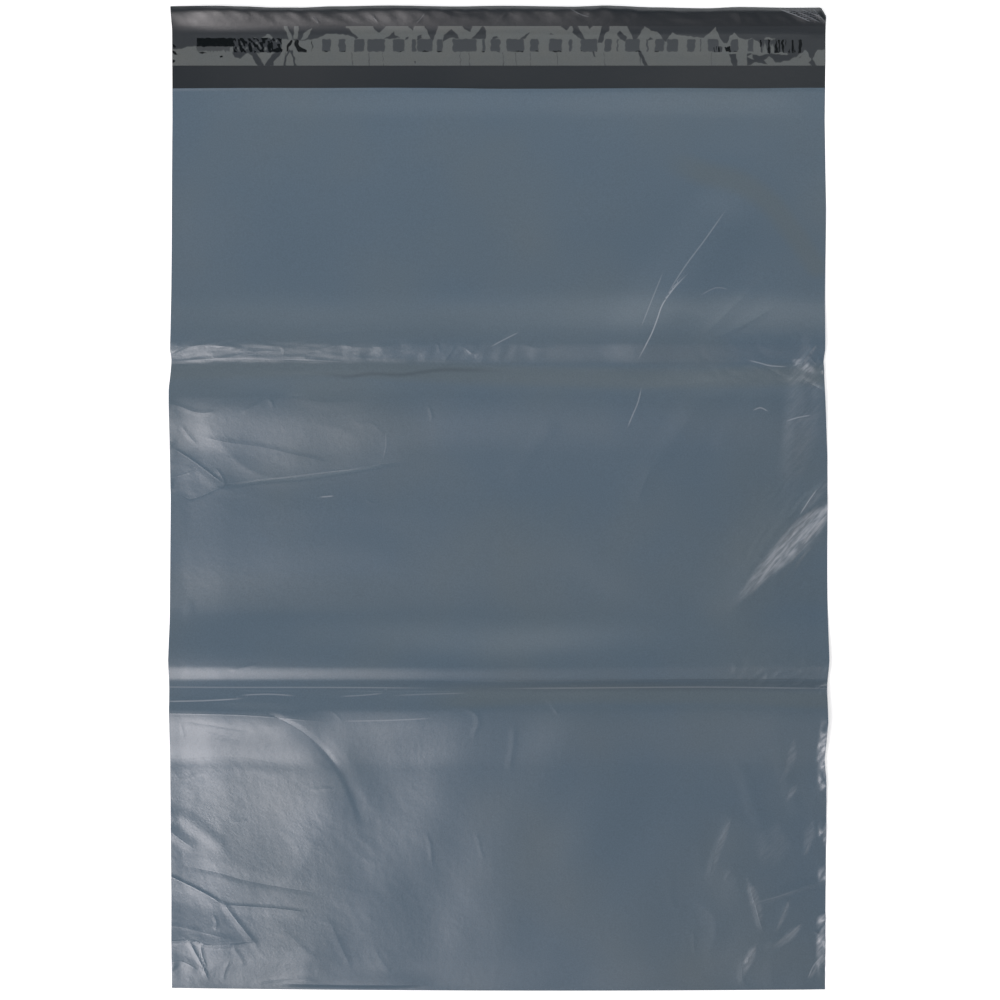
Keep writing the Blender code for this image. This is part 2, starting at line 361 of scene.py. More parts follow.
# %% Pleats of the middle third
MIDDLE_PLEATS = (
    Pleat([(160, 404), (176, 405), (200, 413), (222, 411)], 0.26, 2.4, 3.0),
    Pleat([(240, 414), (256, 406), (268, 399), (274, 404), (272, 412)], 0.34, 1.4, 3.4),
    Pleat([(272, 402), (296, 396), (318, 402), (345, 402), (390, 396)], 0.34, 2.0, 6.0),
    Pleat([(182, 424), (190, 436), (200, 447)], 0.16, 1.4, 2.4),
    Pleat([(192, 434), (226, 442), (262, 447), (292, 454), (340, 465)], 0.24, 2.8, 8.0, 0.4),
    Pleat([(172, 447), (188, 457), (206, 470), (228, 487)], 0.36, 1.5, 9.0, 0.7),
    Pleat([(216, 468), (222, 476), (226, 487)], 0.30, 1.2, 1.6),
    Pleat([(160, 478), (178, 476), (196, 470)], 0.20, 5.0, 6.0, 0.7),
    Pleat([(180, 492), (189, 499), (204, 495), (225, 485)], -0.20, 6.0, 1.4, 0.7),
    Pleat([(205, 488), (260, 480), (300, 477), (340, 471), (412, 460)], -1.30, 26.0, 2.4, 0.3),
    Pleat([(352, 417), (360, 424), (372, 424), (386, 436)], 0.10, 1.8, 2.4),
    Pleat([(386, 432), (385, 452), (379, 470)], 0.10, 1.0, 2.0),
    Pleat([(316, 497), (330, 496)], 0.20, 0.9, 0.9),
    Pleat([(365, 498), (372, 503), (380, 502)], 0.20, 1.0, 1.0),
    Pleat([(428, 404), (432, 416), (430, 422)], 0.22, 1.0, 1.2),
    Pleat([(560, 420), (535, 448), (508, 484)], 0.34, 7.0, 9.0, 0.1),
    Pleat([(706, 396), (680, 430), (650, 470), (630, 512)], 0.60, 9.0, 12.0, 0.1),
    Pleat([(760, 392), (735, 420), (712, 452)], 0.40, 9.0, 9.0, 0.1),
    Pleat([(652, 462), (645, 480), (636, 504)], 0.24, 2.0, 3.0, 0.2),
    Pleat([(652, 488), (690, 484), (728, 480), (745, 482)], 0.14, 1.4, 1.2),
    Pleat([(752, 410), (759, 407), (766, 411)], 0.20, 1.0, 1.0),
    Pleat([(714, 520), (717, 530), (720, 538)], 0.16, 1.0, 1.0),
    Pleat([(440, 640), (520, 600), (600, 590)], 0.40, 16.0, 22.0, 0.0),
    Pleat([(250, 560), (330, 545), (420, 560)], 0.40, 18.0, 18.0, 0.0),
    Pleat([(560, 545), (660, 600), (720, 640)], 0.40, 18.0, 18.0, 0.0),
)

# %% Pleats of the right edge beside the upper crease, and the long streak below it
RIGHT_EDGE_PLEATS = (
    Pleat([(784, 492), (794, 430), (800, 395), (806, 350)], 1.20, 9.0, 10.0, 0.0),
    Pleat([(785, 424), (796, 420), (811, 417)], 0.34, 1.4, 1.4),
    Pleat([(800, 372), (806, 360), (812, 350), (818, 342)], 0.60, 2.6, 2.0, 0.7),
    Pleat([(806, 352), (814, 360), (820, 368)], 0.55, 1.6, 2.4, 0.7),
    Pleat([(802, 378), (812, 384), (826, 392)], 0.50, 1.5, 3.0, 0.6),
    Pleat([(792, 368), (804, 364), (812, 374)], 0.40, 1.6, 2.0, 0.6),
    Pleat([(768, 352), (776, 351), (784, 353)], 0.24, 1.2, 1.0),
    Pleat([(766, 340), (771, 345), (777, 347)], 0.22, 1.2, 1.0),
    Pleat([(750, 362), (768, 368), (786, 378)], 0.26, 1.6, 1.8),
    Pleat([(842, 484), (815, 502), (793, 522), (768, 552), (746, 584), (726, 614)], 2.20, 8.5, 15.0, 0.1),
    Pleat([(836, 506), (816, 522), (800, 542), (782, 566)], 0.90, 3.4, 4.0, 0.2),
    Pleat([(806, 512), (790, 530), (772, 552), (758, 574)], 0.36, 1.4, 1.8, 0.3),
    Pleat([(812, 516), (798, 532), (784, 552), (768, 574)], 0.36, 1.4, 1.8, 0.3),
    Pleat([(832, 470), (812, 494), (797, 516)], 0.50, 2.0, 3.0, 0.6),
    Pleat([(826, 530), (806, 548), (790, 570)], 0.50, 2.6, 3.0, 0.4),
    Pleat([(784, 472), (797, 470), (812, 458), (824, 452)], 0.26, 1.4, 1.4),
)

# %% Pleats of the upper third: long and faint
UPPER_PLEATS = (
    Pleat([(770, 272), (745, 296), (722, 318), (694, 346)], 0.20, 7.0, 4.0, 0.2),
    Pleat([(780, 304), (750, 322), (722, 336), (700, 348)], 0.16, 3.0, 6.0, 0.3),
    Pleat([(700, 292), (716, 286), (726, 286), (734, 291)], 0.14, 1.6, 1.2),
    Pleat([(662, 318), (684, 312), (706, 322)], 0.12, 6.0, 9.0, 0.0),
    Pleat([(700, 148), (760, 160), (795, 205), (822, 262)], 0.20, 12.0, 16.0, 0.0),
    Pleat([(200, 215), (320, 190), (430, 210)], 0.30, 22.0, 22.0, 0.0),
    Pleat([(520, 250), (600, 215), (700, 200)], 0.30, 22.0, 22.0, 0.0),
    Pleat([(220, 300), (330, 286), (460, 300)], 0.30, 20.0, 20.0, 0.0),
    Pleat([(318, 333), (340, 334), (362, 330)], 0.20, 2.6, 2.0, 0.2),
    Pleat([(288, 344), (306, 339), (325, 335)], 0.20, 2.0, 1.4),
)

# %% Pleats along the lower cross crease
LOWER_CREASE_PLEATS = (
    Pleat([(400, 680), (560, 680), (700, 679), (900, 679)], -0.50, 6.5, 7.0, 0.8),
    Pleat([(150, 701), (200, 700), (250, 697.6)], 0.20, 1.4, 0.9),
    Pleat([(248, 694), (275, 693), (300, 696)], 0.20, 1.4, 0.9),
    Pleat([(335, 694), (360, 693), (386, 695)], 0.18, 1.4, 0.9),
    Pleat([(450, 695), (500, 697), (560, 695), (650, 694)], 0.06, 1.9, 4.0),
    Pleat([(232, 671), (246, 667), (262, 663)], 0.26, 1.6, 1.3),
    Pleat([(330, 708), (338, 714), (344, 722)], 0.12, 1.2, 1.2),
    Pleat([(806, 668), (812, 664), (818, 668)], 0.28, 1.4, 1.2),
    Pleat([(786, 672), (796, 668), (800, 673)], 0.24, 1.4, 1.2),
    Pleat([(814, 690), (820, 686), (830, 686)], 0.50, 2.0, 2.0, 0.7),
)

# %% [markdown]
# The lower left corner is the most crumpled part of the bag, and it also faces the light. Its pleats
# run from the side weld inwards, and smaller ones stand on the bottom fold.

# %% Pleats of the lower left corner
LOWER_LEFT_PLEATS = (
    Pleat([(90, 712), (200, 713), (262, 715), (340, 722)], 2.20, 10.0, 27.0, 0.1),
    Pleat([(256, 706), (290, 722), (312, 737), (332, 758), (342, 774)], -0.45, 3.2, 9.0, 0.3),
    Pleat([(310, 732), (336, 762), (350, 786), (366, 830)], -0.42, 9.0, 3.6, 0.0),
    Pleat([(180, 720), (210, 724), (240, 729), (262, 731)], -0.20, 2.2, 1.2),
    Pleat([(182, 722), (184, 730), (186, 738)], 0.24, 1.2, 1.2),
    Pleat([(200, 729), (222, 736), (245, 742)], 0.22, 1.2, 1.8),
    Pleat([(100, 758), (180, 758), (240, 756), (304, 768)], -0.50, 18.0, 9.0, 0.1),
    Pleat([(232, 772), (256, 766), (272, 770), (310, 774)], 0.12, 6.0, 5.0, 0.0),
    Pleat([(310, 789), (322, 788), (335, 787)], 0.20, 1.4, 1.0),
    Pleat([(230, 822), (240, 821), (248, 819)], 0.20, 1.2, 1.0),
    Pleat([(186, 780), (194, 775), (204, 772)], 0.20, 1.2, 1.0),
    Pleat([(150, 800), (182, 816), (204, 832), (230, 852)], 0.50, 7.0, 7.0, 0.0),
    Pleat([(160, 822), (176, 836), (196, 850)], 0.46, 6.0, 5.0, 0.3),
    Pleat([(172, 864), (216, 872), (246, 880), (285, 887), (330, 894)], -0.26, 7.0, 3.0, 0.35),
    Pleat([(160, 872), (180, 881), (206, 894), (226, 906)], 0.60, 1.8, 12.0, 0.5),
    Pleat([(216, 904), (250, 906), (278, 908), (312, 912)], 0.40, 1.6, 7.0, 0.4),
    Pleat([(218, 894), (230, 912), (244, 930), (260, 950)], 0.36, 2.6, 4.0, 0.4),
    Pleat([(212, 914), (216, 922), (214, 930)], 0.26, 1.6, 1.6),
    Pleat([(144, 922), (180, 927), (206, 933), (236, 941)], 0.16, 3.0, 1.6, 0.4),
    Pleat([(140, 943), (188, 940), (204, 944), (224, 945), (264, 940)], 0.80, 8.5, 3.0, 0.5),
    Pleat([(186, 936), (194, 952), (202, 968), (208, 984)], 0.50, 1.4, 2.6, 0.7),
    Pleat([(200, 942), (201, 954), (206, 970)], 0.34, 1.2, 1.6, 0.6),
    Pleat([(232, 946), (240, 958), (244, 968)], 0.18, 2.0, 3.0, 0.3),
    Pleat([(230, 960), (224, 972), (222, 984)], 0.14, 1.2, 2.2),
    Pleat([(160, 966), (180, 962), (198, 972)], 0.50, 5.0, 6.0, 0.5),
    Pleat([(280, 926), (295, 940), (318, 962)], 0.12, 2.6, 4.6, 0.2),
    Pleat([(325, 914), (334, 930), (344, 954), (352, 968)], 0.14, 2.0, 4.0, 0.4),
    Pleat([(270, 984), (330, 985), (372, 985), (440, 985)], 1.30, 11.0, 2.4, 0.1),
    Pleat([(250, 984), (290, 979), (320, 982)], 0.30, 2.0, 2.0, 0.4),
    Pleat([(372, 940), (378, 955), (392, 975)], 0.12, 2.4, 4.4, 0.2),
    Pleat([(60, 938), (200, 944), (270, 952), (380, 960)], 1.90, 30.0, 27.0, 0.0),
    Pleat([(425, 828), (431, 845), (432, 868)], 0.16, 1.2, 2.6, 0.2),
    Pleat([(476, 830), (480, 845), (484, 862)], 0.10, 1.6, 2.6, 0.2),
    Pleat([(543, 700), (550, 703), (558, 714)], 0.34, 1.8, 1.8, 0.4),
    Pleat([(514, 720), (513, 745), (508, 775)], 0.22, 3.0, 3.6, 0.1),
    Pleat([(440, 712), (460, 705), (478, 716), (472, 740)], 0.26, 3.0, 3.0, 0.2),
)

# %% Pleats of the lower right corner
LOWER_RIGHT_PLEATS = (
    Pleat([(734, 812), (724, 832), (715, 852), (708, 882)], 0.44, 2.2, 3.4, 0.3),
    Pleat([(742, 866), (730, 872), (724, 882)], 0.20, 1.6, 1.6),
    Pleat([(754, 878), (751, 890), (756, 908), (760, 922), (764, 934)], 0.60, 2.2, 3.4, 0.5),
    Pleat([(742, 906), (770, 898), (800, 888), (830, 880)], 0.40, 5.0, 2.6, 0.2),
    Pleat([(790, 896), (782, 914), (774, 934)], 0.40, 2.0, 3.0, 0.3),
    Pleat([(802, 922), (788, 934), (772, 944), (766, 952)], 0.50, 2.0, 3.4, 0.4),
    Pleat([(756, 944), (750, 956), (746, 966)], 0.60, 1.6, 2.6, 0.5),
    Pleat([(746, 958), (742, 970), (744, 982), (752, 990)], 0.24, 2.0, 3.6, 0.4),
    Pleat([(770, 842), (763, 850), (760, 856)], 0.24, 1.2, 1.4),
    Pleat([(792, 840), (784, 856), (774, 870)], 0.24, 3.0, 3.0, 0.2),
    Pleat([(810, 838), (806, 848), (803, 856)], 0.36, 1.6, 2.6, 0.3),
    Pleat([(766, 826), (752, 806), (740, 760)], 0.36, 7.0, 7.0, 0.1),
    Pleat([(800, 820), (786, 780), (778, 740)], 0.36, 7.0, 7.0, 0.1),
    Pleat([(694, 930), (694, 944), (696, 956)], 0.22, 1.4, 1.8, 0.3),
    Pleat([(672, 870), (670, 890), (674, 912)], 0.22, 4.0, 5.0, 0.1),
    Pleat([(832, 948), (820, 962), (808, 980)], 0.44, 1.6, 2.2, 0.6),
    Pleat([(838, 928), (822, 934), (812, 930)], 0.44, 2.0, 2.2, 0.6),
)

# %% [markdown]
# Between the pleats the film is never quite flat. Its low unevenness, the facets of crumpled film and
# the puckers of the welds all come from one kind of smooth noise. It is made from the slopes at the
# points of a lattice, so that the same seed gives the same film on every run.

# %% Lattice noise
LATTICE = 97
LATTICE_START = (31.7, 17.3)


def lattice_noise(x, s, size, seed, angle=0.0, stretch=1.0):
    """Gradient noise, about -0.7 to 0.7, with cells of the given size, drawn out along the angle."""
    gradients = np.random.default_rng(seed).uniform(0, 2 * math.pi, (LATTICE, LATTICE))
    turn = math.radians(angle)
    u = (x * math.cos(turn) + s * math.sin(turn)) / (size * stretch) + LATTICE_START[0]
    v = (s * math.cos(turn) - x * math.sin(turn)) / size + LATTICE_START[1]
    iu = np.floor(u).astype(int)
    iv = np.floor(v).astype(int)
    fu = u - iu
    fv = v - iv
    blend_u = fu**3 * (fu * (fu * 6 - 15) + 10)
    blend_v = fv**3 * (fv * (fv * 6 - 15) + 10)
    corners = []
    for du, dv in ((0, 0), (1, 0), (0, 1), (1, 1)):
        way = gradients[(iu + du) % LATTICE, (iv + dv) % LATTICE]
        corners.append(np.cos(way) * (fu - du) + np.sin(way) * (fv - dv))
    near = corners[0] * (1 - blend_u) + corners[1] * blend_u
    far = corners[2] * (1 - blend_u) + corners[3] * blend_u
    return near * (1 - blend_v) + far * blend_v


trial_x, trial_s = np.meshgrid(np.arange(0, 0.1, MM), np.arange(0, 0.1, MM))
trial = lattice_noise(trial_x, trial_s, 10 * MM, 1)
print(f"noise from {trial.min():.2f} to {trial.max():.2f}")


# %% [markdown]
# The side welds pucker: each is a stiff strip that was pulled while it was hot, so its outer edge
# rises and falls in short, uneven facets. They catch the light on the right edge of the bag.

# %% Puckers of the side welds
PUCKER_WIDTH = 5.0 * MM
PUCKER_HEIGHT = 1.5 * MM
PUCKER_FACET = 3.0 * MM
RIGHT_PUCKERS = (
    (742, 36), (778, 30), (832, 16), (876, 14), (921, 12),
    (943, 18), (966, 16), (690, 8), (505, 10), (368, 12),
)
LEFT_PUCKERS = ((404, 12), (448, 14), (486, 12), (822, 18), (968, 20))
LEFT_SHARE = 0.3


def pucker_relief(x, s):
    """A pucker is its middle and its half length along the edge, both in pixels."""
    height = np.zeros_like(x)
    across = np.clip((np.abs(x) - HALF_WIDTH + PUCKER_WIDTH) / PUCKER_WIDTH, 0, 1)
    crisp = 0.6 + lattice_noise(x, s, PUCKER_FACET, 61, 60, 2.2)
    for side, share, puckers in ((1, 1.0, RIGHT_PUCKERS), (-1, LEFT_SHARE, LEFT_PUCKERS)):
        for middle_px, length_px in puckers:
            middle = at(0, middle_px)[1]
            near = np.clip(1 - np.abs(s - middle) / (length_px * PIXEL), 0, 1)
            pucker = PUCKER_HEIGHT * share * across * smooth_step(near) * crisp
            height += np.where(x * side > 0, pucker, 0.0)
    return height


print(len(RIGHT_PUCKERS) + len(LEFT_PUCKERS), "puckers")


# %% [markdown]
# Where the bag was handled the noise is folded over at zero, which leaves the sharp little valleys of
# crumpled film. Elsewhere it stays as it is, and the film is only uneven. Each patch says where it is and
# how far it reaches in pixels, how big its facets are in millimetres, and which way they are drawn out.

# %% Patches of crumpled and of merely uneven film
Patch = namedtuple("Patch", "middle radius size angle stretch height folded seed")
PATCHES = (
    Patch((215, 890), (120, 120), 30.0, 35, 1.7, 0.30, True, 3),
    Patch((250, 860), (190, 150), 9.0, -50, 1.5, 0.05, True, 4),
    Patch((330, 870), (190, 150), 17.0, -60, 1.8, 0.12, False, 5),
    Patch((775, 880), (90, 120), 20.0, 65, 1.8, 0.40, True, 6),
    Patch((240, 354), (150, 14), 3.2, 5, 6.5, 0.36, True, 7),
    Patch((440, 352), (110, 13), 6.5, 55, 1.8, 0.34, False, 8),
    Patch((770, 360), (80, 26), 8.0, -40, 1.8, 0.26, True, 9),
    Patch((240, 445), (110, 60), 24.0, -20, 2.0, 0.30, True, 10),
    Patch((740, 450), (110, 80), 24.0, 60, 2.4, 0.50, False, 12),
    Patch((785, 545), (55, 60), 4.0, 48, 4.5, 0.34, True, 13),
    Patch((780, 670), (60, 16), 6.0, 30, 1.6, 0.34, True, 14),
    Patch((500, 560), (420, 110), 60.0, 15, 2.0, 1.60, False, 15),
    Patch((500, 220), (420, 150), 70.0, 70, 2.0, 0.90, False, 16),
    Patch((500, 850), (420, 160), 45.0, 60, 2.0, 1.30, False, 17),
)


PATCH_EDGE = 1.35
PATCH_FADE = 0.7
FOLD_MIDDLE = 0.45
FOLD_GAIN = 1.6


def oval_distance(x, s, middle, radius):
    """Distance from the middle, which is one on the oval with these two radii in pixels."""
    middle_x, middle_s = at(*middle)
    return np.hypot((x - middle_x) / radius[0], (s - middle_s) / radius[1]) / PIXEL


def patch_relief(x, s):
    height = np.zeros_like(x)
    for patch in PATCHES:
        far = oval_distance(x, s, patch.middle, patch.radius)
        near = far < PATCH_EDGE
        if not near.any():
            continue
        mask = smooth_step((PATCH_EDGE - far[near]) / PATCH_FADE)
        wave = lattice_noise(x[near], s[near], patch.size * MM, patch.seed, patch.angle, patch.stretch)
        if patch.folded:
            wave = FOLD_MIDDLE - np.abs(wave) * FOLD_GAIN
        height[near] += patch.height * MM * mask * wave
    return height


print(len(PATCHES), "patches,", sum(patch.folded for patch in PATCHES), "of them crumpled")

# %% Where the film carries the finest creases: middle, reach and amount
CRUMPLE_FADE = 0.8
CRUMPLES = (
    ((220, 880), (150, 150), 1.0),
    ((380, 860), (170, 150), 0.5),
    ((780, 880), (100, 120), 0.8),
    ((300, 354), (220, 18), 1.0),
    ((560, 356), (260, 16), 0.5),
    ((780, 365), (90, 40), 0.7),
    ((250, 450), (140, 70), 0.7),
    ((740, 470), (150, 120), 0.45),
    ((780, 670), (70, 20), 0.9),
    ((500, 600), (420, 120), 0.15),
)


def crumple_mask(x, s):
    """From nothing to one. The material draws the creases that are too fine for the mesh."""
    mask = np.zeros_like(x)
    for middle, radius, amount in CRUMPLES:
        far = oval_distance(x, s, middle, radius)
        mask = np.maximum(mask, amount * smooth_step((PATCH_EDGE - far) / CRUMPLE_FADE))
    return mask


# %% [markdown]
# An empty bag still holds a little air. The front ply stands off the back ply by a fraction of a
# millimetre nearly everywhere, in small puffs beside the creases, and in one broad swell that fills the
# lower third. That swell decides how most of the light falls there, so it has its own crest and ends.

# %% Puffs: both ends of the crest in metres from the middle and from the fold, half width, height in mm
PUFFS = (
    (((0.176, 0.286), (0.144, 0.238)), 0.030, 1.1),
    (((-0.156, 0.346), (-0.086, 0.346)), 0.046, 1.05),
    (((0.136, 0.466), (0.087, 0.398)), 0.028, 1.0),
    (((-0.168, 0.152), (-0.100, 0.128)), 0.038, 0.5),
    (((0.152, 0.072), (0.150, 0.034)), 0.032, 0.6),
    (((-0.150, 0.060), (-0.080, 0.048)), 0.030, 0.3),
)
PUFF_EDGE_FADE = 20.0 * MM


def puff_relief(x, s):
    puffs = np.zeros_like(x)
    for line, half_width, peak in PUFFS:
        signed, _ = line_distance(x, s, list(line))
        share = np.clip(np.abs(signed) / half_width, 0, 1)
        puffs += peak * MM * np.cos(0.5 * math.pi * share) ** 2
    fade = smooth_step((WELD_LINE - np.abs(x)) / PUFF_EDGE_FADE) * smooth_step(s / PUFF_EDGE_FADE)
    return puffs * fade


# %% Air all over, and the swells: edges and crest in pixels, height in millimetres
AIR = 0.7 * MM
AIR_SIDE_FADE = 30.0 * MM
AIR_END_FADE = 20.0 * MM
Swell = namedtuple("Swell", "left top right crest_x crest_y bottom height")
SWELLS = (
    Swell(168, 600, 770, 480, 712, 990, 5.6),
    Swell(176, 470, 560, 330, 520, 612, 1.0),
)


def air_relief(x, s):
    sides = smooth_step((WELD_LINE - np.abs(x)) / AIR_SIDE_FADE)
    return AIR * sides * smooth_step(s / AIR_END_FADE) * smooth_step((BODY - s) / AIR_END_FADE)


def swell_relief(x, s):
    """Broad swells of the front ply, steepest at the left weld and at their lower edge."""
    height = np.zeros_like(x)
    px = pixel_across(x)
    py = pixel_down(s)
    for swell in SWELLS:
        near_side = np.sin(0.5 * math.pi * np.clip((px - swell.left) / (swell.crest_x - swell.left), 0, 1))
        far_side = smooth_step((swell.right - px) / (swell.right - swell.crest_x))
        climb = smooth_step((py - swell.top) / (swell.crest_y - swell.top))
        down = np.clip((py - swell.crest_y) / (swell.bottom - swell.crest_y), 0, 1)
        height += swell.height * MM * near_side * far_side * climb * np.cos(0.5 * math.pi * down)
    return height


def pocket_relief(x, s):
    return puff_relief(x, s) + air_relief(x, s) + swell_relief(x, s)


print(len(PUFFS), "puffs and", len(SWELLS), "swells")

# %% All the fine relief of the front
PLEAT_EDGE_FADE = 3.0 * MM
FRONT_PLEATS = (
    UPPER_CREASE_PLEATS
    + UPPER_SHADOW_PLEATS
    + MIDDLE_PLEATS
    + RIGHT_EDGE_PLEATS
    + UPPER_PLEATS
    + LOWER_CREASE_PLEATS
    + LOWER_LEFT_PLEATS
    + LOWER_RIGHT_PLEATS
)
print(len(FRONT_PLEATS), "pleats on the front")


def fine_relief(x, s):
    fine = patch_relief(x, s)
    for pleat in FRONT_PLEATS:
        fine = fine + pleat_relief(x, s, pleat)
    return fine * smooth_step(s / PLEAT_EDGE_FADE)


# %% Where the plies are welded, and where there is a gap between them
def weld_share(x):
    """One in the side welds, where both plies are one sheet, and nothing inside the pocket."""
    return smooth_step((np.abs(x) - WELD_LINE + WELD_TAPER) / WELD_TAPER)


def pocket_gap(x):
    return PLY_GAP * smooth_step((WELD_LINE - np.abs(x)) / WELD_TAPER)


def floor_height(x, s, fine):
    """Height of the back ply's grey side, which never goes through the floor."""
    return np.maximum(shared_relief(x, s) + pucker_relief(x, s) + weld_share(x) * fine, 0)


# %% [markdown]
# ## From heights to shells
#
# Each stretch of film becomes a closed shell, as thick as the real film. A bmesh grid gives its faces
# and an extrusion its second layer. Then every vertex goes to its place from the arrays of heights.
# The normals come from those arrays too, so two shells that meet shade as one sheet.

# %% Side edges and bottom edge, in pixels of the photograph
LEFT_EDGE = (
    (6, 170.4), (30, 172.1), (120, 172.4), (330, 171.2), (350, 170.8),
    (360, 172.0), (372, 171.2), (390, 169.4), (500, 170.7), (620, 169.8),
    (660, 168.8), (688, 169.9), (760, 170.5), (920, 171.5), (990, 172.0),
)
RIGHT_EDGE = (
    (6, 825.5), (60, 825.5), (120, 824.7), (210, 826.0), (300, 824.8), (350, 824.6),
    (361, 823.2), (390, 824.3), (455, 827.2), (600, 827.4), (660, 828.7), (688, 826.4),
    (722, 827.3), (742, 825.6), (760, 824.1), (778, 825.8), (800, 826.2), (985, 825.0),
)
BOTTOM_BOW = 2.8
BOTTOM_DROP = 0.7
BOTTOM_MIDDLE = 560
BOTTOM_REACH = 390
BOTTOM_FADE = 40.0 * MM


def along_edge(s, edge):
    return np.interp(pixel_down(s), [point[0] for point in edge], [point[1] for point in edge])


def sideways(x, s):
    """Draws each side edge in or out to its place, and the film between them in proportion."""
    left = (MIDDLE_PX - along_edge(s, LEFT_EDGE)) * PIXEL
    right = (along_edge(s, RIGHT_EDGE) - MIDDLE_PX) * PIXEL
    return x / HALF_WIDTH * np.where(x < 0, left, right)


def bottom_bow(x, s):
    off_middle = (pixel_across(x) - BOTTOM_MIDDLE) / BOTTOM_REACH
    return (BOTTOM_BOW * off_middle**2 - BOTTOM_DROP) * PIXEL * smooth_step(1 - s / BOTTOM_FADE)


def points(x, s, z):
    return np.stack([sideways(x, s), s + BOTTOM + bottom_bow(x, s), z], axis=-1)


# %% Normals of a grid of points
def grid_normals(grid):
    down_rows = np.gradient(grid, axis=0)
    along_columns = np.gradient(grid, axis=1)
    normal = np.cross(along_columns, down_rows)
    return normal / np.linalg.norm(normal, axis=-1, keepdims=True)


# %% A shell from its upper and under layers
def make_shell(name, top, under, normals, materials, masks=None):
    """top, under and normals are rows by columns by 3. masks are named arrays, rows by columns."""
    rows, columns = top.shape[:2]
    bm = bmesh.new()
    bmesh.ops.create_grid(bm, x_segments=columns - 1, y_segments=rows - 1, size=1.0)
    grown = bmesh.ops.extrude_face_region(bm, geom=bm.faces[:])
    lower = [item for item in grown["geom"] if isinstance(item, bmesh.types.BMVert)]
    bmesh.ops.translate(bm, verts=lower, vec=(0, 0, -1))
    bmesh.ops.recalc_face_normals(bm, faces=bm.faces)
    for face in bm.faces:
        face.material_index = 1 if face.normal.z < -0.5 else 0
    mesh = bpy.data.meshes.new(name)
    bm.to_mesh(mesh)
    bm.free()
    flat = np.empty(len(mesh.vertices) * 3, np.float32)
    mesh.vertices.foreach_get("co", flat)
    flat = flat.reshape(-1, 3)
    column = np.rint((flat[:, 0] + 1) / 2 * (columns - 1)).astype(int)
    row = np.rint((flat[:, 1] + 1) / 2 * (rows - 1)).astype(int)
    is_top = (flat[:, 2] > -0.5)[:, None]
    place = np.where(is_top, top[row, column], under[row, column])
    mesh.vertices.foreach_set("co", place.astype(np.float32).ravel())
    for mask, values in (masks or {}).items():
        attribute = mesh.attributes.new(mask, "FLOAT", "POINT")
        attribute.data.foreach_set("value", values[row, column].astype(np.float32))
    for material in materials:
        mesh.materials.append(material)
    mesh.update()
    mesh.shade_smooth()
    facing = np.where(is_top, normals[row, column], -normals[row, column])
    mesh.normals_split_custom_set_from_vertices(facing.astype(np.float32))
    obj = bpy.data.objects.new(name, mesh)
    bpy.context.scene.collection.objects.link(obj)
    print(f"{name}: {2 * len(mesh.polygons)} triangles")
    return obj


# %% [markdown]
# ## Materials
#
# Polyethylene film is a dull, slightly uneven mirror over a dense pigment. Its colour hardly changes
# over the bag. What changes is how each patch of it stands to the light, so the finish is mostly
# roughness and relief: a fine grain, faint drawing lines along the web, and here and there a speck.
# Some light is painted into the colour as well: painted shade by the creases, painted highlights on
# the long streak and the right edge, and a painted warm reflection on slopes that face away.

# %% Node helpers
def new_node(tree, kind, settings=None, **inputs):
    node = tree.nodes.new(kind)
    for key, value in (settings or {}).items():
        setattr(node, key, value)
    for key, value in inputs.items():
        socket = node.inputs[key.replace("_", " ")]
        if isinstance(value, bpy.types.NodeSocket):
            tree.links.new(value, socket)
        else:
            socket.default_value = value
    return node


def math_node(tree, operation, first, second=0.0):
    node = tree.nodes.new("ShaderNodeMath")
    node.operation = operation
    for number, value in enumerate((first, second)):
        if isinstance(value, bpy.types.NodeSocket):
            tree.links.new(value, node.inputs[number])
        else:
            node.inputs[number].default_value = value
    return node.outputs[0]


def mix_colours(tree, factor, first, second):
    node = tree.nodes.new("ShaderNodeMix")
    node.data_type = "RGBA"
    for socket, value in ((node.inputs[0], factor), (node.inputs[6], first), (node.inputs[7], second)):
        if isinstance(value, bpy.types.NodeSocket):
            tree.links.new(value, socket)
        else:
            socket.default_value = value
    return node.outputs[2]


def map_range(tree, value, low, high, to_low=0.0, to_high=1.0):
    node = tree.nodes.new("ShaderNodeMapRange")
    tree.links.new(value, node.inputs["Value"])
    for key, number in (("From Min", low), ("From Max", high), ("To Min", to_low), ("To Max", to_high)):
        node.inputs[key].default_value = number
    return node.outputs["Result"]


def new_group(name, inputs, outputs):
    group = bpy.data.node_groups.new(name, "ShaderNodeTree")
    for label, kind, value in inputs:
        socket = group.interface.new_socket(label, in_out="INPUT", socket_type=kind)
        if value is not None:
            socket.default_value = value
    for label, kind in outputs:
        group.interface.new_socket(label, in_out="OUTPUT", socket_type=kind)
    return group, group.nodes.new("NodeGroupInput"), group.nodes.new("NodeGroupOutput")


# %% Film surface: grain, clouds, height and specks, as one group
PEEL_HEIGHT = 0.060
DRAWING_HEIGHT = 0.012
FACET_HEIGHT = 0.038
CRINKLE_HEIGHT = 0.045
CREST_HEIGHT = 0.11
CREST_WIDTH = 0.9
GRAIN_SCALE = 1200.0
CLOUD_SCALE = 9.0
PEEL_SCALE = 300.0
DRAWING_SHARE = 0.04
FACET_SCALE = 110.0
CRINKLE_SCALE = 520.0
CRUMPLE_DEGREES = -56
CRUMPLE_STRETCH = 1.5
SPECK_SCALE = 70.0
SPECK_RIM = 0.055
SPECK_CORE = 0.025
SPECK_SHARE = 0.03


def drawn_out(tree, place, degrees, stretch):
    """The place for a noise that is drawn out along one direction."""
    node = new_node(tree, "ShaderNodeMapping", {"vector_type": "TEXTURE"}, Vector=place)
    node.inputs["Rotation"].default_value = (0.0, 0.0, math.radians(degrees))
    node.inputs["Scale"].default_value = (stretch, 1.0, 1.0)
    return node.outputs[0]


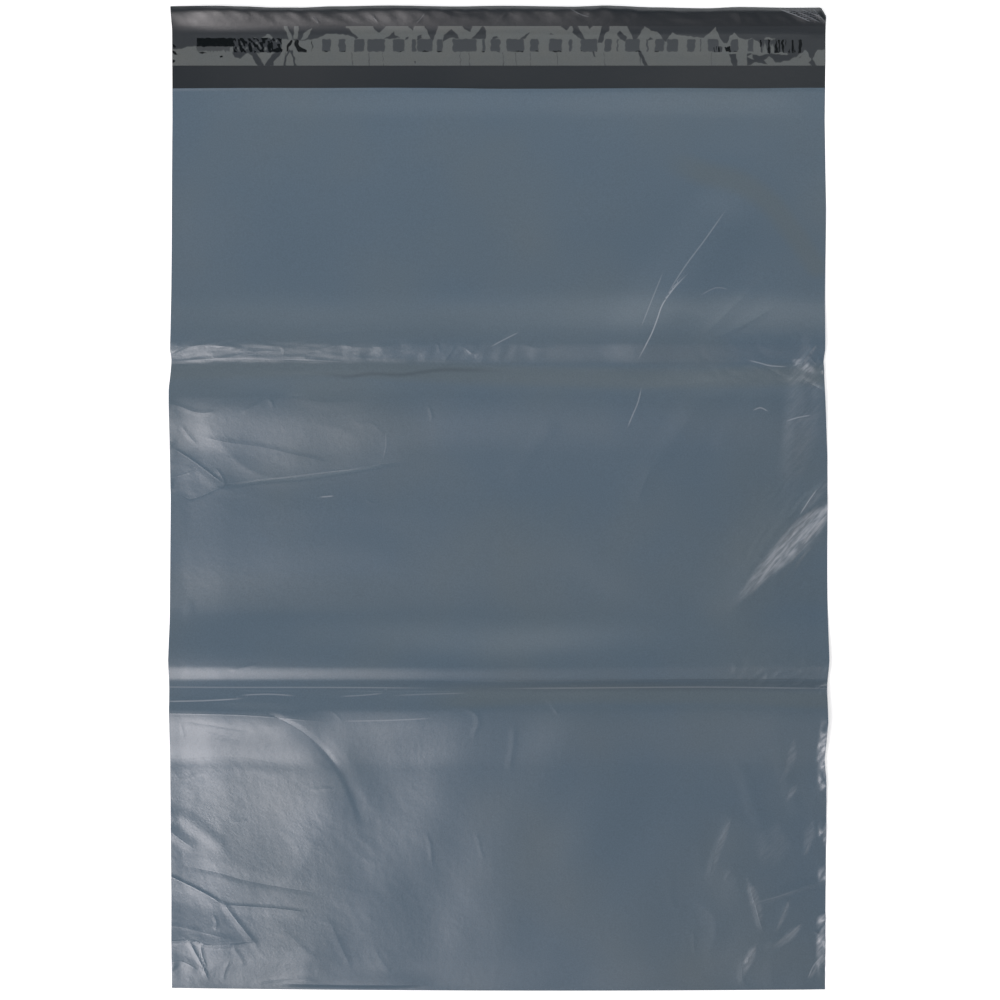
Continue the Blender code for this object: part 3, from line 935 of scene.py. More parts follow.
def folded_noise(tree, place, scale, detail):
    """Noise folded over at its middle, which leaves sharp valleys."""
    noise = new_node(tree, "ShaderNodeTexNoise", Vector=place, Scale=scale, Detail=detail)
    centred = math_node(tree, "SUBTRACT", noise.outputs["Fac"], 0.5)
    return math_node(tree, "MULTIPLY", math_node(tree, "ABSOLUTE", centred), 2.0)


def film_surface_group():
    """Heights are in millimetres."""
    inputs = [
        ("Place", "NodeSocketVector", None),
        ("Crumple", "NodeSocketFloat", 0.0),
        ("Crest Distance", "NodeSocketFloat", FAR),
        ("Crest Level", "NodeSocketFloat", 0.0),
        ("Speck Share", "NodeSocketFloat", SPECK_SHARE),
    ]
    outputs = [(label, "NodeSocketFloat") for label in ("Grain", "Cloud", "Height", "Speck")]
    group, enter, leave = new_group("film_surface", inputs, outputs)
    place = enter.outputs["Place"]
    grain = new_node(group, "ShaderNodeTexNoise", Vector=place, Scale=GRAIN_SCALE, Detail=2.0)
    cloud = new_node(group, "ShaderNodeTexNoise", Vector=place, Scale=CLOUD_SCALE, Detail=3.0)
    peel = new_node(group, "ShaderNodeTexNoise", Vector=place, Scale=PEEL_SCALE, Detail=4.0)
    drawn = new_node(group, "ShaderNodeMapping", Vector=place)
    drawn.inputs["Scale"].default_value = (1.0, DRAWING_SHARE, 1.0)
    lines = new_node(group, "ShaderNodeTexNoise", Vector=drawn.outputs[0], Scale=PEEL_SCALE, Detail=1.0)
    dragged = drawn_out(group, place, CRUMPLE_DEGREES, CRUMPLE_STRETCH)
    facets = folded_noise(group, dragged, FACET_SCALE, 1.0)
    crinkles = folded_noise(group, dragged, CRINKLE_SCALE, 2.0)
    crumpled = math_node(group, "MULTIPLY", facets, FACET_HEIGHT)
    crumpled = math_node(group, "ADD", crumpled, math_node(group, "MULTIPLY", crinkles, CRINKLE_HEIGHT))
    crumpled = math_node(group, "MULTIPLY", crumpled, enter.outputs["Crumple"])
    away = math_node(group, "ABSOLUTE", enter.outputs["Crest Distance"])
    slope = map_range(group, away, 0.0, CREST_WIDTH, 1.0, 0.0)
    crest = math_node(group, "MULTIPLY", slope, slope)
    crest = math_node(group, "MULTIPLY", crest, enter.outputs["Crest Level"])
    crest = math_node(group, "MULTIPLY", crest, CREST_HEIGHT)
    peeled = math_node(group, "MULTIPLY", peel.outputs["Fac"], PEEL_HEIGHT)
    even = math_node(group, "ADD", peeled, math_node(group, "MULTIPLY", lines.outputs["Fac"], DRAWING_HEIGHT))
    height = math_node(group, "ADD", math_node(group, "ADD", even, crumpled), crest)
    spots = new_node(group, "ShaderNodeTexVoronoi", Vector=place, Scale=SPECK_SCALE)
    near = map_range(group, spots.outputs["Distance"], SPECK_RIM, SPECK_CORE)
    chosen = math_node(group, "LESS_THAN", spots.outputs["Color"], enter.outputs["Speck Share"])
    for label, value in (
        ("Grain", grain.outputs["Fac"]),
        ("Cloud", cloud.outputs["Fac"]),
        ("Height", height),
        ("Speck", math_node(group, "MULTIPLY", near, chosen)),
    ):
        group.links.new(value, leave.inputs[label])
    return group


FILM_SURFACE = film_surface_group()


# %% A film material
# The pale colour belongs to specks and scratches, and it also paints highlights. The second colour is painted
# shade.
PALE_MARK_AND_HIGHLIGHT_COLOUR = (0.42, 0.45, 0.49, 1.0)
PAINTED_SHADE_COLOUR = (0.020, 0.032, 0.045, 1.0)
FEATHER_SCALE = 620.0
FEATHER_DEGREES = 46
FEATHER_STRETCH = 6.0
ROUGHNESS_DRIFT = 0.03
FILM_IOR = 1.6


def attribute(tree, name):
    return new_node(tree, "ShaderNodeAttribute", {"attribute_name": name}).outputs["Fac"]


def multiply_colours(tree, colour, grain):
    mixed = tree.nodes.new("ShaderNodeMix")
    mixed.data_type = "RGBA"
    mixed.blend_type = "MULTIPLY"
    mixed.inputs[0].default_value = 1.0
    tree.links.new(colour, mixed.inputs[6])
    tree.links.new(grain, mixed.inputs[7])
    return mixed.outputs[2]


def film_material(name, colour, warm, roughness, line_width):
    """colour and warm are mixed by slow clouds and by the painted warm reflection. Pale hair lines, specks
    and painted highlights lighten the film; dark hair lines and painted shade darken it.
    """
    material = bpy.data.materials.new(name)
    material.use_nodes = True
    tree = material.node_tree
    shader = tree.nodes["Principled BSDF"]
    place = new_node(tree, "ShaderNodeTexCoord").outputs["Object"]
    surface = new_node(
        tree,
        "ShaderNodeGroup",
        {"node_tree": FILM_SURFACE},
        Place=place,
        Crumple=attribute(tree, "crumple"),
        Crest_Distance=attribute(tree, "crest_distance"),
        Crest_Level=attribute(tree, "crest_level"),
    )
    cloud = map_range(tree, surface.outputs["Cloud"], 0.42, 0.76)
    # The warm colour is painted in here as a warm reflection on the shaded sides of the creases.
    cloud = math_node(tree, "MAXIMUM", cloud, attribute(tree, "painted_warm_reflection"))
    base = mix_colours(tree, cloud, (*colour, 1), (*warm, 1))
    grain = map_range(tree, surface.outputs["Grain"], 0.3, 0.7, 0.91, 1.09)
    grained = multiply_colours(tree, base, grain)
    off_line = math_node(tree, "ABSOLUTE", attribute(tree, "line_distance"))
    nearness = map_range(tree, off_line, line_width, line_width * 0.3)
    line = math_node(tree, "MULTIPLY", nearness, attribute(tree, "line_level"))
    combed = drawn_out(tree, place, FEATHER_DEGREES, FEATHER_STRETCH)
    feather = new_node(tree, "ShaderNodeTexNoise", Vector=combed, Scale=FEATHER_SCALE, Detail=2.0)
    feather = map_range(tree, feather.outputs["Fac"], 0.36, 0.66, 0.25, 1.0)
    # Painted highlight: pale, feathered zones where the long streak, the right edge and the lower right
    # corner catch the light.
    pale = math_node(tree, "MULTIPLY", feather, attribute(tree, "painted_highlight"))
    marks_and_highlights = math_node(tree, "MAXIMUM", math_node(tree, "MAXIMUM", line, pale), surface.outputs["Speck"])
    marks_and_highlights = math_node(tree, "MINIMUM", marks_and_highlights, 1.0)
    # Painted shade: dark hair lines and the shade zones pull the colour towards the painted shade colour.
    painted_shade = math_node(tree, "MAXIMUM", math_node(tree, "MULTIPLY", line, -1.0), attribute(tree, "shade_zone"))
    folded = mix_colours(tree, painted_shade, grained, PAINTED_SHADE_COLOUR)
    tree.links.new(mix_colours(tree, marks_and_highlights, folded, PALE_MARK_AND_HIGHLIGHT_COLOUR), shader.inputs["Base Color"])
    smoothest = roughness - ROUGHNESS_DRIFT
    roughest = roughness + ROUGHNESS_DRIFT
    rough = map_range(tree, surface.outputs["Cloud"], 0.3, 0.7, smoothest, roughest)
    tree.links.new(rough, shader.inputs["Roughness"])
    relief = new_node(tree, "ShaderNodeBump", Height=surface.outputs["Height"], Strength=1.0, Distance=MM)
    tree.links.new(relief.outputs["Normal"], shader.inputs["Normal"])
    shader.inputs["IOR"].default_value = FILM_IOR
    return material


FILM_GREY = film_material("film_grey_outside", (0.083, 0.126, 0.167), (0.091, 0.126, 0.151), 0.35, 0.55)
FILM_BLACK = film_material("film_black_inside", (0.006, 0.0105, 0.0150), (0.008, 0.0115, 0.0150), 0.35, 0.45)


# %% [markdown]
# ## Hair lines
#
# A hair line is drawn in the colour. Where film is scratched it turns pale along such a line, and the
# other pale lines are painted highlight on the sharp edges of the creases and of small ridges. The dark
# ones, with a negative level, are painted shade in narrow grooves. Such a line is far thinner than the
# mesh, so each vertex only keeps its signed distance from the nearest one, and how strong that line is
# there. The material draws the line where the distance passes through zero.

# %% Hair lines of the front: scratches and painted highlights, and painted shade where the level is negative
HairLine = namedtuple("HairLine", "line level")
HAIR_LINES = (
    HairLine([(690, 272), (676, 286), (663, 304), (657, 320), (652, 333), (645, 347), (637, 363)], 0.56),
    HairLine([(664, 270), (656, 290), (648, 310), (640, 330)], 0.22),
    HairLine([(728, 206), (706, 238), (684, 268), (664, 300)], 0.26),
    HairLine([(642, 386), (638, 402), (632, 416), (626, 430)], 0.34),
    HairLine([(386, 432), (386, 446), (383, 460)], 0.12),
    HairLine([(110, 686.4), (220, 686.8), (330, 686.6), (450, 687.2)], 0.24),
    HairLine([(480, 687.6), (580, 687.2), (700, 686.6), (790, 687.6), (860, 688.6)], 0.22),
    HairLine([(440, 680), (560, 680), (700, 679), (860, 679)], -0.35),
    HairLine([(322, 373), (346, 377), (371, 374), (401, 375), (425, 372), (447, 370), (505, 371)], -0.35),
    HairLine([(240, 694.6), (270, 693.4), (298, 695)], 0.30),
    HairLine([(340, 695.5), (364, 694.2), (386, 692)], 0.22),
    HairLine([(392, 694.5), (430, 693), (470, 692)], 0.16),
    HairLine([(340, 720), (390, 719), (436, 716.6)], 0.22),
    HairLine([(160, 701), (205, 700), (248, 697.6)], 0.42),
    HairLine([(172, 361), (230, 359), (300, 360), (352, 363)], 0.26),
    HairLine([(520, 332), (504, 340), (489, 348)], 0.30),
    HairLine([(225, 485), (280, 478), (330, 472), (372, 468)], 0.14),
    HairLine([(700, 296), (716, 288), (730, 290)], 0.18),
    HairLine([(784, 422), (796, 418), (812, 415)], 0.42),
    HairLine([(752, 411), (760, 408), (768, 412)], 0.35),
    HairLine([(745, 905), (775, 897), (800, 889)], 0.08),
    HairLine([(826, 952), (814, 966), (808, 980)], 0.30),
    HairLine([(797, 516), (806, 502), (816, 488)], 0.45),
    HairLine([(320, 497), (334, 496)], 0.40),
    HairLine([(748, 360), (760, 363), (772, 366), (790, 367)], 0.36),
)
print(len(HAIR_LINES), "stress lines")

# %% How near each point is to a hair line
LINE_REACH = 4.0 * MM


def hair_line_masks(x, s, lines):
    nearest = np.full(x.shape, FAR)
    level = np.zeros(x.shape)
    for hair_line in lines:
        signed, along = line_distance(x, s, smooth_line(path(*hair_line.line)))
        fade = end_fade(along)
        fade = fade * (1 - smooth_step(np.abs(signed) / LINE_REACH))
        nearer = np.abs(signed) < np.abs(nearest)
        nearest = np.where(nearer, signed, nearest)
        level = np.where(nearer, hair_line.level * fade, level)
    return {"line_distance": np.clip(nearest / MM, -6, 6), "line_level": level}


# %% Painted warm reflection on slopes that face away from the main light, beside the creases and along a fold at the upper right: middle, reach, amount and the pixel from which it starts
ZONE_FADE = 0.3
WARM_DRIFT_PX = 5
WARM_WAVE_LENGTH = 70 * MM
WARM_FADE_PX = 80
WARM_REFLECTION_ZONES = ((374, 13, 1.0, 0), (698, 12, 1.0, 400), (590, 24, 0.4, 0), (320, 22, 0.4, 0))
WARM_ARC = [(650, 150), (700, 172), (738, 182), (770, 203), (796, 236), (816, 266)]
WARM_ARC_WIDTH = 14


def painted_warm_reflections(x, s):
    py = pixel_down(s)
    mask = np.zeros_like(x)
    for middle, reach, amount, start in WARM_REFLECTION_ZONES:
        drift = WARM_DRIFT_PX * np.sin(x / WARM_WAVE_LENGTH + middle)
        share = amount * smooth_step((pixel_across(x) - start) / WARM_FADE_PX)
        mask = np.maximum(mask, share * smooth_step(1.3 - np.abs(py - middle + drift) / reach))
    signed, along = line_distance(x, s, smooth_line(path(*WARM_ARC)))
    arc = smooth_step(1.3 - np.abs(signed) / (WARM_ARC_WIDTH * PIXEL)) * smooth_step(along / ZONE_FADE)
    return np.maximum(mask, arc)


# %% Painted shade beside the lower crease and along a line below the upper crease, and painted highlights on the long streak, the right edge and the lower right corner
SHADE_MIDDLE = 684.5
SHADE_REACH = 5.5
SHADE_FROM = 240
SHADE_FULL = 620
SHADE_LEVEL = 0.30
SHADE_LINE = [(300, 378), (324, 374), (346, 377), (371, 374), (401, 375), (425, 372), (447, 370), (520, 371)]
SHADE_LINE_WIDTH = 1.3 * MM
PaintedHighlight = namedtuple("PaintedHighlight", "line width level")
# Painted highlights: each has a line in pixels, a width in pixels and a strength.
PAINTED_HIGHLIGHTS = (
    PaintedHighlight([(838, 500), (812, 522), (786, 548), (760, 574), (722, 614)], 11, 0.62),
    PaintedHighlight([(832, 478), (814, 496), (798, 516), (788, 530)], 4, 0.14),
    PaintedHighlight([(794, 360), (804, 365), (822, 376)], 5, 0.55),
    PaintedHighlight([(790, 380), (800, 378), (814, 384), (830, 394)], 4, 0.20),
    PaintedHighlight([(806, 340), (804, 400), (796, 450), (782, 520)], 18, 0.10),
    PaintedHighlight([(829, 722), (826, 752), (829, 800)], 6, 0.60),
    PaintedHighlight([(826, 822), (825, 852)], 3, 0.45),
    PaintedHighlight([(824, 866), (820, 886)], 4, 0.35),
    PaintedHighlight([(825, 914), (816, 930)], 4, 0.50),
    PaintedHighlight([(823, 928), (817, 964)], 4, 0.60),
    PaintedHighlight([(827, 952), (808, 982)], 3, 0.30),
    PaintedHighlight([(793, 738), (791, 763), (776, 786)], 4, 0.14),
    PaintedHighlight([(796, 784), (784, 804)], 3, 0.18),
    PaintedHighlight([(812, 822), (803, 860)], 5, 0.14),
    PaintedHighlight([(776, 826), (764, 876)], 16, 0.07),
    PaintedHighlight([(731, 816), (718, 850), (708, 890)], 3, 0.15),
    PaintedHighlight([(746, 878), (757, 904), (763, 934)], 4, 0.17),
    PaintedHighlight([(802, 924), (785, 940), (766, 953)], 4, 0.17),
    PaintedHighlight([(756, 944), (748, 962), (740, 984)], 4, 0.24),
    PaintedHighlight([(789, 900), (776, 934)], 3, 0.10),
)


def shade_zone(x, s):
    py = pixel_down(s)
    px = pixel_across(x)
    band = smooth_step(1.4 - np.abs(py - SHADE_MIDDLE) / SHADE_REACH)
    band = band * smooth_step((px - SHADE_FROM) / (SHADE_FULL - SHADE_FROM))
    signed, along = line_distance(x, s, smooth_line(path(*SHADE_LINE)))
    line = smooth_step(1.3 - np.abs(signed) / SHADE_LINE_WIDTH)
    line = line * smooth_step(along / ZONE_FADE) * smooth_step((1 - along) / ZONE_FADE)
    return SHADE_LEVEL * np.maximum(band, line)


def painted_highlight(x, s):
    """Each zone is widest a third of the way along its line, and thins out to both ends."""
    total = np.zeros_like(x)
    for zone in PAINTED_HIGHLIGHTS:
        signed, along = line_distance(x, s, smooth_line(path(*zone.line)))
        width = zone.width * PIXEL * (0.25 + 0.75 * smooth_step(along / 0.3) * smooth_step((1 - along) / 0.7))
        core = smooth_step(1.5 - np.abs(signed) / width) * smooth_step((1 - along) / 0.5)
        total = np.maximum(total, zone.level * core * smooth_step(0.5 + along / 0.2))
    return total


# %% Crests of the pleats
CREST_REACH = 6.0
CREST_GAIN = 2.5


def crest_masks(x, s, pleats):
    """Signed distance in millimetres from the nearest pleat's crest, and that pleat's strength there."""
    nearest = np.full(x.shape, FAR)
    level = np.zeros(x.shape)
    for pleat in pleats:
        line = smooth_line(path(*pleat.line))
        near = beside(x, s, line, CREST_REACH * MM)
        if not near.any():
            continue
        signed, along = line_distance(x[near], s[near], line)
        fade = end_fade(along)
        fade = fade * (1 - smooth_step(np.abs(signed) / LINE_REACH))
        nearer = np.abs(signed) < np.abs(nearest[near])
        nearest[near] = np.where(nearer, signed, nearest[near])
        level[near] = np.where(nearer, pleat.height * pleat.sharp * CREST_GAIN * fade, level[near])
    return {"crest_distance": np.clip(nearest / MM, -CREST_REACH, CREST_REACH), "crest_level": level}


# %% [markdown]
# ## The front ply
#
# The front is made in three shells that meet in the two cross creases, where the real film is sharply
# folded. Each can then be fine enough for its pleats. The lowest one also goes round the bottom fold.

# %% Front shells
ACROSS_STEP = 1.0 * MM
ALONG_STEP = 1.0 * MM
FOLD_TURNS = 6


def stations(low, high, step):
    return np.linspace(low, high, max(2, int(round((high - low) / step)) + 1))


MOUTH_CURL = 0.35 * MM
MOUTH_CURL_LENGTH = 1.6 * MM
MOUTH_DROP = 0.7 * MM
MOUTH_EASE = 6.0 * MM
MOUTH_WAVE_LENGTH = 60.0 * MM
LEAST_GAP = 0.2


def front_height(x, s):
    """Height of the front ply's grey side. It keeps a share of the gap where pleats press it down."""
    fine = fine_relief(x, s)
    mouth = MOUTH_CURL * smooth_step((s - BODY + MOUTH_CURL_LENGTH) / MOUTH_CURL_LENGTH)
    gap = pocket_gap(x)
    room = gap + pocket_relief(x, s)
    own = np.maximum((1 - weld_share(x)) * fine, LEAST_GAP * gap - room)
    return floor_height(x, s, fine) + 2 * FILM + room + own + mouth


def ply_layers(rows, columns, height):
    """Upper points and normals for rows and columns. One more row and column each way gives the normals."""
    step_r = rows[1] - rows[0]
    step_c = columns[1] - columns[0]
    wide_rows = np.concatenate([[rows[0] - step_r], rows, [rows[-1] + step_r]])
    wide_columns = np.concatenate([[columns[0] - step_c], columns, [columns[-1] + step_c]])
    x, s = np.meshgrid(wide_columns, wide_rows)
    grid = points(x, s, height(x, s))
    normals = grid_normals(grid)[1:-1, 1:-1]
    return x[1:-1, 1:-1], s[1:-1, 1:-1], grid[1:-1, 1:-1], normals


def lowered(top, amount):
    under = top.copy()
    under[..., 2] -= amount
    return under


def make_front(name, low, high, with_fold=False):
    columns = stations(-HALF_WIDTH, HALF_WIDTH, ACROSS_STEP)
    rows = stations(low, high, ALONG_STEP)
    x, s, top, normals = ply_layers(rows, columns, front_height)
    wave = 0.5 + lattice_noise(x, s, MOUTH_WAVE_LENGTH, 31)
    top[..., 1] -= MOUTH_DROP * wave * smooth_step((s - BODY + MOUTH_EASE) / MOUTH_EASE)
    under = lowered(top, FILM)
    masks = {**hair_line_masks(x, s, HAIR_LINES), **crest_masks(x, s, FRONT_PLEATS)}
    masks["crumple"] = crumple_mask(x, s)
    masks["painted_warm_reflection"] = painted_warm_reflections(x, s)
    masks["shade_zone"] = shade_zone(x, s)
    masks["painted_highlight"] = painted_highlight(x, s)
    if with_fold:
        floor = floor_height(x[0], s[0], fine_relief(x[0], s[0]))
        radius = (top[0, :, 2] - floor) / 2
        middle = (top[0, :, 2] + floor) / 2
        turns = np.linspace(math.pi, 0, FOLD_TURNS + 1)[:-1, None]
        top = np.concatenate([fold_rows(top[0], turns, radius, middle), top])
        under = np.concatenate([fold_rows(under[0], turns, radius - FILM, middle), under])
        facing = np.zeros((FOLD_TURNS, len(columns), 3))
        facing[..., 1] = -np.sin(turns)
        facing[..., 2] = np.cos(turns)
        normals = np.concatenate([facing, normals])
        masks = {key: np.concatenate([values[:1]] * FOLD_TURNS + [values]) for key, values in masks.items()}
    return make_shell(name, top, under, normals, (FILM_GREY, FILM_BLACK), masks)


def fold_rows(first, turns, radius, middle):
    """Rows that carry the first row of a layer round the bottom fold."""
    rows = np.repeat(first[None], len(turns), axis=0)
    rows[..., 1] = first[:, 1] - radius * np.sin(turns)
    rows[..., 2] = middle + radius * np.cos(turns)
    return rows


MIDDLE_SEAM = (LOWER_CREASE.s + UPPER_CREASE.s) / 2
LOWER_SEAM = 0.092
UPPER_SEAM = 0.467
front_pieces = [
    make_front("front_panel_foot", FOLD_RADIUS, LOWER_SEAM, with_fold=True),
    make_front("front_panel_lower", LOWER_SEAM, LOWER_CREASE.s),
    make_front("front_panel_middle", LOWER_CREASE.s, MIDDLE_SEAM),
    make_front("front_panel_chest", MIDDLE_SEAM, UPPER_CREASE.s),
    make_front("front_panel_upper", UPPER_CREASE.s, UPPER_SEAM),
    make_front("front_panel_mouth", UPPER_SEAM, BODY),
]

# %% [markdown]
# ## The back ply and the lip
#
# The back lies on the floor and shows only from behind, so it needs the creases and a few soft waves.
# The lip is the same ply past the mouth, black side up. It is made finer, because its free edge curls
# and its top right corner is bent over.

# %% Back shells
COARSE_EVERY = 3
WELD_COLUMNS = 15


def back_height(x, s):
    """Height of the back ply's black side."""
    return floor_height(x, s, fine_relief(x, s)) + FILM


def make_back(name, low, high):
    """The welds keep every column of the front, so that both plies stay one sheet there."""
    every = stations(-HALF_WIDTH, HALF_WIDTH, ACROSS_STEP)
    columns = np.concatenate([
        every[:WELD_COLUMNS],
        every[WELD_COLUMNS:-WELD_COLUMNS:COARSE_EVERY],
        every[-WELD_COLUMNS:],
    ])
    x, s, top, normals = ply_layers(stations(low, high, ALONG_STEP), columns, back_height)
    return make_shell(name, top, lowered(top, FILM), normals, (FILM_BLACK, FILM_GREY))


# %% Lip shell
LIP_STEP = 0.9 * MM
LIP_PLEATS = (
    Pleat([(236, 17), (246, 14), (252, 20)], 0.08, 1.6, 2.6),
    Pleat([(312, 17), (316, 21), (319, 24)], 0.14, 1.0, 1.2),
    Pleat([(330, 17), (352, 12), (380, 7)], 0.20, 3.0, 5.0, 0.3),
    Pleat([(370, 15), (374, 19), (379, 23)], 0.14, 1.0, 1.2),
    Pleat([(392, 19), (410, 22), (424, 18)], 0.12, 1.6, 2.4),
    Pleat([(444, 15), (470, 20), (500, 19)], 0.16, 2.6, 3.4),
    Pleat([(446, 12), (468, 15), (492, 12)], -0.14, 2.0, 3.0),
    Pleat([(500, 20), (508, 13), (516, 18)], 0.12, 1.6, 2.2),
    Pleat([(566, 8), (576, 13), (582, 16)], 0.16, 1.2, 2.0),
    Pleat([(585, 18), (600, 9), (614, 5)], 0.26, 3.0, 5.0),
    Pleat([(630, 18), (648, 13), (672, 11)], 0.22, 3.0, 4.0, 0.2),
    Pleat([(660, 18), (690, 20), (722, 18)], 0.16, 3.0, 3.0, 0.2),
    Pleat([(730, 4), (738, 14), (742, 26)], 0.30, 4.0, 5.0, 0.2),
    Pleat([(776, 8), (792, 14), (812, 23)], 0.44, 1.4, 2.6, 0.3),
    Pleat([(786, 7), (802, 13), (824, 25)], 0.40, 1.2, 2.2, 0.3),
    Pleat([(800, 8), (812, 13), (828, 21)], 0.40, 1.2, 2.0, 0.3),
    Pleat([(812, 7), (818, 14), (830, 28)], 0.36, 1.4, 2.0, 0.3),
)
LIP_UNEVEN = 0.24 * MM
LIP_UNEVEN_SIZE = 6.0 * MM
LIP_UNEVEN_EASE = 5.0 * MM
# Hair lines of the lip: a few scratches, and painted highlights on the crumples of its bent corner.
LIP_HAIR_LINES = (
    HairLine([(778, 9), (794, 15), (812, 23)], 0.36),
    HairLine([(788, 8), (802, 14), (822, 24)], 0.22),
    HairLine([(800, 9), (812, 14), (826, 20)], 0.24),
    HairLine([(812, 8), (818, 15), (828, 26)], 0.20),
    HairLine([(570, 10), (582, 16), (590, 18)], 0.16),
    HairLine([(313, 16), (316, 20), (318, 24)], 0.14),
    HairLine([(372, 16), (375, 20), (377, 23)], 0.12),
    HairLine([(416, 24), (422, 18), (425, 14)], 0.12),
)
TOP_EDGE = (
    (165, 6.6), (215, 6.7), (240, 7.3), (275, 8.4), (300, 8.4), (335, 7.0), (385, 6.4), (455, 7.4),
    (500, 6.6), (575, 7.6), (605, 6.6), (655, 8.1), (705, 8.9), (740, 7.6), (795, 8.4), (830, 8.3),
)
CORNER_IN = 3.0 * MM
CORNER_DOWN = 5.2 * MM


def lip_height(x, s):
    """Height of the lip's black side."""
    fine = np.zeros_like(x)
    for pleat in LIP_PLEATS:
        fine = fine + pleat_relief(x, s, pleat)
    uneven = lattice_noise(x, s, LIP_UNEVEN_SIZE, 71, -28, 2.2)
    fine = fine + LIP_UNEVEN * uneven * smooth_step((s - LINER_TO) / LIP_UNEVEN_EASE)
    return np.maximum(shared_relief(x, s) + pucker_relief(x, s), 0) + FILM + fine


def lip_edge(x, s):
    """Draws the free edge in and out along the bag, and cuts its right corner where that is bent over."""
    edge = (FOLD_PX - eased(pixel_across(x), TOP_EDGE)) * PIXEL
    free = smooth_step((s - LENGTH + 10 * MM) / (10 * MM))
    corner = np.clip((x - HALF_WIDTH + CORNER_IN) / CORNER_IN, 0, 1)
    return s + free * (edge - LENGTH - CORNER_DOWN * corner)


def make_lip():
    columns = stations(-HALF_WIDTH, HALF_WIDTH, LIP_STEP)
    rows = stations(BODY, LENGTH, LIP_STEP)
    x, s, top, normals = ply_layers(rows, columns, lip_height)
    top[..., 1] = lip_edge(x, s) + BOTTOM
    masks = {**hair_line_masks(x, s, LIP_HAIR_LINES), **crest_masks(x, s, LIP_PLEATS)}
    return make_shell("closing_lip", top, lowered(top, FILM), normals, (FILM_BLACK, FILM_GREY), masks)


back_pieces = [
    make_back("back_panel_lower", FOLD_RADIUS, LOWER_CREASE.s),
    make_back("back_panel_middle", LOWER_CREASE.s, UPPER_CREASE.s),
    make_back("back_panel_upper", UPPER_CREASE.s, BODY),
    make_lip(),
]

# %% [markdown]
# ## The adhesive
#
# Hot-melt adhesive is laid as a flat ribbon with slightly ragged, rounded edges and a few bubbles. It
# is almost black over black film, and glossier than the film.

# %% Adhesive strip
GLUE_STEP = 0.6 * MM
GLUE_ROUND = 0.9 * MM


def glue_material():
    material = bpy.data.materials.new("hot_melt_adhesive")
    material.use_nodes = True
    tree = material.node_tree
    shader = tree.nodes["Principled BSDF"]
    place = new_node(tree, "ShaderNodeTexCoord").outputs["Object"]
    ripple = new_node(tree, "ShaderNodeTexNoise", Vector=place, Scale=420.0, Detail=3.0)
    tone = mix_colours(tree, ripple.outputs["Fac"], (0.008, 0.010, 0.010, 1), (0.020, 0.021, 0.021, 1))
    tree.links.new(tone, shader.inputs["Base Color"])
    tree.links.new(map_range(tree, ripple.outputs["Fac"], 0.3, 0.7, 0.18, 0.34), shader.inputs["Roughness"])
    relief = new_node(tree, "ShaderNodeBump", Height=ripple.outputs["Fac"], Strength=0.5, Distance=0.0001)
    tree.links.new(relief.outputs["Normal"], shader.inputs["Normal"])
    return material


def make_glue():
    columns = stations(-GLUE_HALF, GLUE_HALF, GLUE_STEP)
    rows = stations(GLUE_FROM, GLUE_TO, GLUE_STEP)

    def height(x, s):
        inset = np.minimum(np.minimum(s - GLUE_FROM, GLUE_TO - s), GLUE_HALF - np.abs(x))
        crown = GLUE_THICKNESS * smooth_step(inset / GLUE_ROUND)
        return lip_height(x, s) + SEAT_GAP + crown

    x, s, top, normals = ply_layers(rows, columns, height)
    under = points(x, s, lip_height(x, s) + SEAT_GAP - 0.02 * MM)
    ragged = 0.25 * MM * np.sin(x / (1.9 * MM) + 2 * np.sin(x / (5.3 * MM)))
    at_edge = smooth_step(np.abs(s - (GLUE_FROM + GLUE_TO) / 2) / (GLUE_TO - GLUE_FROM) * 4 - 1)
    for layer in (top, under):
        layer[..., 1] -= ragged * at_edge * np.sign(s - (GLUE_FROM + GLUE_TO) / 2)
    return make_shell("adhesive", top, under, normals, (glue_material(), glue_material()))


glue = make_glue()

# %% [markdown]
# ## The release liner
#
# The liner is a thin, hazy film. Where it clings to the adhesive or to the lip there is no air under it,
# and it goes dark and clear. Where air is trapped it looks silvery grey. That patchwork is what makes
# the strip look real, so it is laid out from simple shapes: a wavy front between cling and air, dark
# wedges that hang from the upper edge, and the row of patches that the adhesive has wetted.

